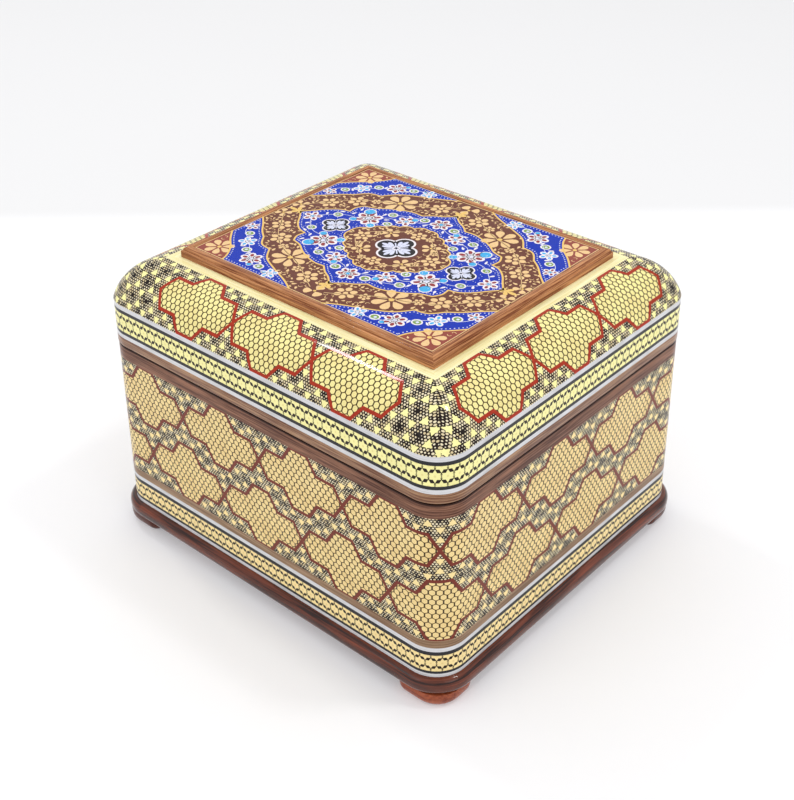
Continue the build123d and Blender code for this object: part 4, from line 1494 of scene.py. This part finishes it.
    def draw_brown_flowers(self):
        """Fill the brown grounds with tan flowers, leaves and curling stems."""
        stems = (
            [(3.0, 37.6), (8.6, 34.2), (14.0, 30.6), (20.0, 27.6), (27.2, 25.0), (32.6, 22.0), (36.0, 19.4)],
            [(36.0, 19.4), (40.0, 15.4), (42.6, 11.8), (46.0, 7.6), (48.6, 3.4)],
            [(3.0, 14.0), (7.0, 10.4), (11.6, 7.2), (15.8, 3.0)],
        )
        for stem in stems:
            self.lines("tan", smooth_line(stem, 5), 0.24)
        for x, y, radius, petals, turn in (
            (22.2, 27.4, 6.2, 7, 0.4), (45.8, 37.2, 5.0, 7, 0.3), (0, 38.6, 3.6, 3, -math.pi / 2),
            (48.8, 4.4, 3.0, 4, 0.6), (8.9, 7.4, 3.3, 5, 0.7),
        ):
            self.bloom(x, y, radius, petals, turn)
        for x, y, radius, turn in (
            (8.4, 33.4, 3.9, 0.2), (34.9, 19.2, 3.9, 0.1), (42.2, 11.8, 3.7, 0.3), (15.0, 0, 3.4, 0.5),
            (0, 11.6, 3.0, 0.0), (14.6, 31.4, 2.2, 0.0), (29.6, 23.2, 2.0, 0.4), (4.6, 12.0, 1.7, 0.2),
            (12.2, 4.8, 1.6, 0.0),
        ):
            self.berries(x, y, radius, 6, turn)
        self.fill_brown()

    def fill_brown(self):
        """Tuck small leaves and curling tendrils into the brown ground that is still bare."""
        draw = random.Random(11)
        step, margin, edge_room, badge_room, leaf_share = 1.75, 0.7, 1.4, 9.4, 0.62
        for row in range(int(self.half[1] / step)):
            for column in range(int(self.half[0] / step)):
                x = (column + 0.5 + draw.uniform(-0.25, 0.25)) * step
                y = (row + 0.5 + draw.uniform(-0.25, 0.25)) * step
                turn, reach, kind = draw.uniform(0, 2 * math.pi), draw.uniform(1.2, 2.0), draw.random()
                in_medallion = inside((x, y), self.medallion)
                if (inside((x, y), self.field) and not in_medallion) or inside((x, y), self.crescent):
                    continue
                by_edge = x > self.half[0] - edge_room or y > self.half[1] - edge_room
                if by_edge or math.hypot(x, y) < badge_room:
                    continue
                if any(math.hypot(x - px, y - py) < pr + margin for px, py, pr in self.placed):
                    continue
                tip = (x + reach * 0.6 * math.cos(turn), y + reach * 0.6 * math.sin(turn))
                tail = (x - reach * 0.5 * math.cos(turn), y - reach * 0.5 * math.sin(turn))
                edges = (self.field, self.crescent) if not in_medallion else ()
                if any(inside(tip, e) or inside(tail, e) for e in edges):
                    continue
                if in_medallion and not (inside(tip, self.medallion) and inside(tail, self.medallion)):
                    continue
                if kind < leaf_share:
                    self.everywhere("tan", petal(tail[0], tail[1], reach, reach * 0.5, turn), (x, y))
                else:
                    curl = [
                        (x + 0.22 * k * math.cos(turn + k * 0.75), y + 0.22 * k * math.sin(turn + k * 0.75))
                        for k in range(1, 6)
                    ]
                    self.lines("tan", curl, 0.2)

    def quatrefoil(self, x, y, size, turn):
        """A black four-lobed flower edged and cut through in white."""
        for k in range(4):
            angle = turn + k * math.pi / 2
            px, py = x + size * 0.54 * math.cos(angle), y + size * 0.54 * math.sin(angle)
            self.layers["white"].shape(ellipse(px, py, size * 0.47, size * 0.49, angle, 20))
            self.layers["black"].shape(ellipse(px, py, size * 0.385, size * 0.4, angle, 20))
        for k in range(4):
            angle = turn + k * math.pi / 2
            tip = size * 0.86
            for spread, reach in ((0, 0.66), (0.62, 0.52), (-0.62, 0.52)):
                way = angle + spread * 0.55
                start = size * 0.12
                self.layers["pearl"].shape(petal(
                    x + start * math.cos(way), y + start * math.sin(way), size * reach, size * 0.17, way
                ))
            cut = angle + math.pi / 4
            self.layers["pearl"].line(
                [(x, y), (x + size * 0.5 * math.cos(cut), y + size * 0.5 * math.sin(cut))], size * 0.06
            )
        self.layers["pearl"].shape(ellipse(x, y, size * 0.1, size * 0.1, 0, 10))

    def draw_quatrefoils(self):
        """Set the large badge in the medallion and a small one at each end of the blue field."""
        self.quatrefoil(0, 0, 8.0, 0.0)
        for x in (-27.6, 27.6):
            self.quatrefoil(x, 0, 5.6, 0.0)

    def draw_dots(self):
        """Dot the blue along its gold lines and scatter fine dots between the flowers."""
        draw = random.Random(7)
        bold, fine, room = 0.25, 0.16, 0.6
        for outline, distance in (
            (offset_inwards(self.field, 1.15), 1.25), (offset_inwards(self.medallion, -1.1), 1.3),
        ):
            for x, y in spaced(outline, distance):
                self.layers["pearl"].shape(ellipse(x, y, bold, bold, 0, 7))
        for sx, sy in QUADRANTS:
            loop = [(x * sx, y * sy) for x, y in self.crescent]
            loop = loop if sx * sy < 0 else loop[::-1]
            for x, y in spaced(offset_inwards(loop, 1.1), 1.3):
                if abs(x) < self.half[0] - room and abs(y) < self.half[1] - room:
                    self.layers["pearl"].shape(ellipse(x, y, bold, bold, 0, 7))
        for _ in range(1100):
            x, y = draw.uniform(-44, 44), draw.uniform(-31, 31)
            if inside((x, y), self.field) and not inside((x, y), self.medallion):
                self.layers["pearl"].shape(ellipse(x, y, fine, fine, 0, 6))


def offset_inwards(outline, distance):
    """Move a closed outline sideways by an even distance."""
    area = sum(a[0] * b[1] - b[0] * a[1] for a, b in zip(outline, outline[1:] + outline[:1]))
    loop = outline if area > 0 else outline[::-1]
    return offset_polygon(loop, -distance)


def spaced(outline, step):
    """Points at an even step along a closed outline."""
    spots, left = [], 0.0
    for a, b in zip(outline, outline[1:] + outline[:1]):
        a, b = Vector(a), Vector(b)
        run = (b - a).length
        while left <= run and run > 1e-9:
            spots.append(tuple(a.lerp(b, left / run)))
            left += step
        left -= run
    return spots


def pad_mesh(name, low, high, thin_axis, face_sign, crown, material, corner=1.2):
    """Make a crowned pad that is flat where it is glued and rounded over to its edges."""
    size = high - low
    middle = (low + high) / 2
    axes = [axis for axis in range(3) if axis != thin_axis]
    half_u, half_v = size[axes[0]] / 2, size[axes[1]] / 2
    thick = size[thin_axis]
    round_edge = min(thick * 0.48, 1.4)
    count = 10
    loops = [(0.0, 0.35), (round_edge * 0.02, 0.55), (round_edge * 0.3, 0.82), (round_edge, 1.0)]
    reach = min(half_u, half_v)
    loops += [(round_edge + (reach - round_edge) * share, 1.0) for share in (0.06, 0.15, 0.3, 0.5, 0.75, 0.94)]
    points, rings = [], []

    def ring(inset, level):
        first = len(points)
        hu, hv = half_u - inset, half_v - inset
        radius = max(min(corner + 1.0 - inset * 0.3, hu * 0.98, hv * 0.98), 0.01)
        for su, sv, turn in ((1, 1, 0), (-1, 1, 90), (-1, -1, 180), (1, -1, 270)):
            for k in range(count):
                angle = math.radians(turn + 90 * k / (count - 1))
                u = su * (hu - radius) + radius * math.cos(angle)
                v = sv * (hv - radius) + radius * math.sin(angle)
                spot = [0.0, 0.0, 0.0]
                spot[axes[0]], spot[axes[1]] = middle[axes[0]] + u, middle[axes[1]] + v
                spot[thin_axis] = middle[thin_axis] + face_sign * (level * thick - thick / 2)
                points.append(tuple(spot))
        rings.append(first)

    ring(round_edge * 0.4, 0.0)
    for inset, level in loops:
        share = min(inset / reach, 1.0)
        swell = 1 - crown * (1 - share) ** 2
        ring(inset, level * swell)
    size_ring = 4 * count
    faces = []
    flip = (face_sign > 0) != (thin_axis == 1)
    for a, b in zip(rings[:-1], rings[1:]):
        for k in range(size_ring):
            nxt = (k + 1) % size_ring
            quad = (a + k, a + nxt, b + nxt, b + k)
            faces.append(quad if flip else quad[::-1])
    base = tuple(range(rings[0], rings[0] + size_ring))
    cap = tuple(range(rings[-1], rings[-1] + size_ring))
    faces.append(base[::-1] if flip else base)
    faces.append(cap if flip else cap[::-1])
    return add_piece(name, points, faces, [material])


class BOX_OT_lining(bpy.types.Operator):
    """Pad the inside of the box and the lid with velvet"""

    bl_idname = "box.lining"
    bl_label = "Velvet lining"

    def execute(self, context):
        velvet = velvet_material()
        for node, body, axis, sign in (
            ("lining_floor_pad", "box", 2, 1),
            ("lid_lining_ceiling_pad", "lid", 2, -1),
        ):
            low, high = span(node)
            pad = pad_mesh(node + "_velvet", low, high, axis, sign, 0.35, velvet, 3.2)
            settle(pad, body, "velvet", node)
        side_pad = 1.5
        for prefix, body in (("lining_", "box"), ("lid_lining_", "lid")):
            for kind, axis in (("long_pads", 1), ("short_pads", 0)):
                low, high = span(prefix + kind)
                for sign in (-1, 1):
                    pad_low, pad_high = low.copy(), high.copy()
                    if sign < 0:
                        pad_high[axis] = low[axis] + side_pad
                    else:
                        pad_low[axis] = high[axis] - side_pad
                    name = prefix + kind + ("_velvet_first" if sign < 0 else "_velvet_second")
                    pad = pad_mesh(name, pad_low, pad_high, axis, -sign, 0.25, velvet, 1.0)
                    settle(pad, body, "velvet", prefix + kind)
        return {"FINISHED"}


class BOX_OT_hardware(bpy.types.Operator):
    """Finish the hinges, screws and pins in brass, the boards in plain wood and the walls in a red stain"""

    bl_idname = "box.hardware"
    bl_label = "Hinges and carcass"

    def execute(self, context):
        leaf = brass_material("hinge_brass")
        screw = brass_material("screw_brass")
        for node in ("hinge_body_leaves", "hinge_lid_leaves"):
            give_material(node, leaf)
        for node in ("hinge_body_screws", "hinge_lid_screws", "hinge_pins"):
            give_material(node, screw)
        carcass = wood_material(
            "carcass_poplar", srgb(196, 160, 112), srgb(150, 112, 72), use_map=False, gloss=0.5
        )
        seam_shade_and_wall_stain = wood_material(
            "carcass_red_stain", srgb(104, 18, 24), srgb(66, 10, 14), use_map=False, gloss=0.6, coat=0.0
        )
        for node in ("bottom_board", "lid_top_board"):
            give_material(node, carcass)
        for side in SIDES:
            give_material("wall_" + side, seam_shade_and_wall_stain)
            give_material("lid_wall_" + side, seam_shade_and_wall_stain)
        return {"FINISHED"}


class BOX_OT_stage(bpy.types.Operator):
    """Set the pale floor, the soft lamps and the camera"""

    bl_idname = "box.stage"
    bl_label = "Stage"

    azimuth = math.radians(41.6547)
    elevation = math.radians(27.1526)
    roll = math.radians(-0.5722)
    distance = 0.45412
    aim_height = 0.1049
    # Distance behind the box's middle where the floor's painted shade begins, and how soft its edge is.
    shade_line = 253.0
    shade_line_blur = 12.0
    floor_half = 3000.0

    def execute(self, context):
        scene = context.scene
        scene.view_settings.view_transform = "Standard"
        self.floor()
        self.world(scene)
        self.lamps(scene)
        self.camera(scene)
        return {"FINISHED"}

    def floor(self):
        """Lay a pale paper that shows almost white to the camera, greyer far behind the box by painted shade, and that
        sheds a faint painted light onto the box.
        """
        material, g, shader = start_material("floor_paper")
        point = object_point(g)
        tone = g.noise(point, 0.01, 2.0)
        paper = g.mix(g.ramp(tone, 0.3, 0.7, 0.0, 0.05), (0.76, 0.76, 0.77), (0.73, 0.73, 0.74))
        g.feed(shader.inputs["Base Color"], paper)
        shader.inputs["Roughness"].default_value = 0.8
        shader.inputs["Specular IOR Level"].default_value = 0.1
        away = g.vector("DOT_PRODUCT", point, (-math.sin(self.azimuth), math.cos(self.azimuth), 0))
        # Painted shade: past a line behind the box the floor's glow falls from 0.22 to 0.08, so the floor there shows
        # greyer.
        behind = g.ramp(away, self.shade_line - self.shade_line_blur, self.shade_line + self.shade_line_blur)
        seen = g.node("ShaderNodeLightPath")
        rays = g.math("MAXIMUM", seen.outputs["Is Camera Ray"], seen.outputs["Is Glossy Ray"])
        rays = g.math("MAXIMUM", rays, seen.outputs["Is Transmission Ray"])
        glow = g.mix(behind, (0.22, 0.22, 0.23), (0.08, 0.08, 0.08))
        # Rays other than camera, glossy and transmission rays see a glow of 0.14, so the floor sheds painted light
        # onto the box.
        g.feed(shader.inputs["Emission Color"], g.mix(rays, (0.14, 0.14, 0.14), glow))
        shader.inputs["Emission Strength"].default_value = 1.0
        size = self.floor_half
        points = [(-size, -size, 0), (size, -size, 0), (size, size, 0), (-size, size, 0)]
        add_piece("floor_sheet", points, [(0, 1, 2, 3)], [material])

    def world(self, scene):
        """Light the object evenly from a white sky."""
        world = bpy.data.worlds.new("studio")
        scene.world = world
        world.use_nodes = True
        background = world.node_tree.nodes["Background"]
        background.inputs["Color"].default_value = (1, 1, 1, 1)
        background.inputs["Strength"].default_value = 0.9

    def lamps(self, scene):
        """Hang two small window lamps for the crisp highlights, and two broad soft ones."""
        for name, place, power, size in (
            ("window_lamp", (-0.67, 0.05, 1.07), 1.5, 0.1),
            ("second_window_lamp", (0.36, 0.22, 0.94), 1.2, 0.1),
            ("front_lamp", (-0.5, -1.4, 1.3), 2.5, 0.9),
            ("side_lamp", (1.4, -0.2, 1.2), 2.0, 0.8),
        ):
            data = bpy.data.lights.new(name, "AREA")
            data.energy = power
            data.size = size
            lamp = bpy.data.objects.new(name, data)
            scene.collection.objects.link(lamp)
            lamp.location = place
            aim = Vector((0, 0, 0.06)) - Vector(place)
            lamp.rotation_euler = aim.to_track_quat("-Z", "Y").to_euler()

    def camera(self, scene):
        """Stand the camera where the photograph was taken from."""
        azimuth, elevation, roll = self.azimuth, self.elevation, self.roll
        level = math.cos(elevation)
        back = Vector((math.sin(azimuth) * level, -math.cos(azimuth) * level, math.sin(elevation)))
        right = Vector((math.cos(azimuth), math.sin(azimuth), 0))
        up = back.cross(right)
        right, up = right * math.cos(roll) + up * math.sin(roll), up * math.cos(roll) - right * math.sin(roll)
        data = bpy.data.cameras.new("photo_camera")
        data.sensor_width = 36.0
        data.lens = 61.385
        data.shift_x, data.shift_y = 0.0009, -0.17845
        data.clip_start = 0.01
        camera = bpy.data.objects.new("photo_camera", data)
        scene.collection.objects.link(camera)
        turn = Matrix((right, up, back)).transposed().to_4x4()
        camera.matrix_world = Matrix.Translation(Vector((0, 0, self.aim_height)) + back * self.distance) @ turn
        scene.camera = camera


class VIEW3D_PT_inlaid_box(bpy.types.Panel):
    """List the box's settings and the operators that build it"""

    bl_label = "Inlaid Box"
    bl_idname = "VIEW3D_PT_inlaid_box"
    bl_space_type = "VIEW_3D"
    bl_region_type = "UI"
    bl_category = "Inlaid Box"

    def draw(self, context):
        for group in (context.scene.box_plan, context.scene.box_inlay, context.scene.box_finish):
            column = self.layout.column(align=True)
            for key in group.bl_rna.properties.keys():
                if key not in ("rna_type", "name"):
                    column.prop(group, key)
        for operator in operators:
            self.layout.operator(operator.bl_idname)


operators = (
    BOX_OT_stage,
    BOX_OT_hardware,
    BOX_OT_plinth,
    BOX_OT_stringing,
    BOX_OT_star_bands,
    BOX_OT_body_sheet,
    BOX_OT_rims,
    BOX_OT_lid_shoulder,
    BOX_OT_border,
    BOX_OT_frame,
    BOX_OT_painted_panel,
    BOX_OT_lining,
)
settings_groups = (BoxPlanSettings, InlaySettings, FinishSettings)


def register():
    for item in settings_groups + operators + (VIEW3D_PT_inlaid_box,):
        bpy.utils.register_class(item)
    bpy.types.Scene.box_plan = PointerProperty(type=BoxPlanSettings)
    bpy.types.Scene.box_inlay = PointerProperty(type=InlaySettings)
    bpy.types.Scene.box_finish = PointerProperty(type=FinishSettings)


def unregister():
    for name in ("box_plan", "box_inlay", "box_finish"):
        delattr(bpy.types.Scene, name)
    for item in reversed(settings_groups + operators + (VIEW3D_PT_inlaid_box,)):
        bpy.utils.unregister_class(item)


def main():
    register()
    for operator in operators:
        group, name = operator.bl_idname.split(".")
        getattr(getattr(bpy.ops, group), name)()


if __name__ == "__main__":
    main()
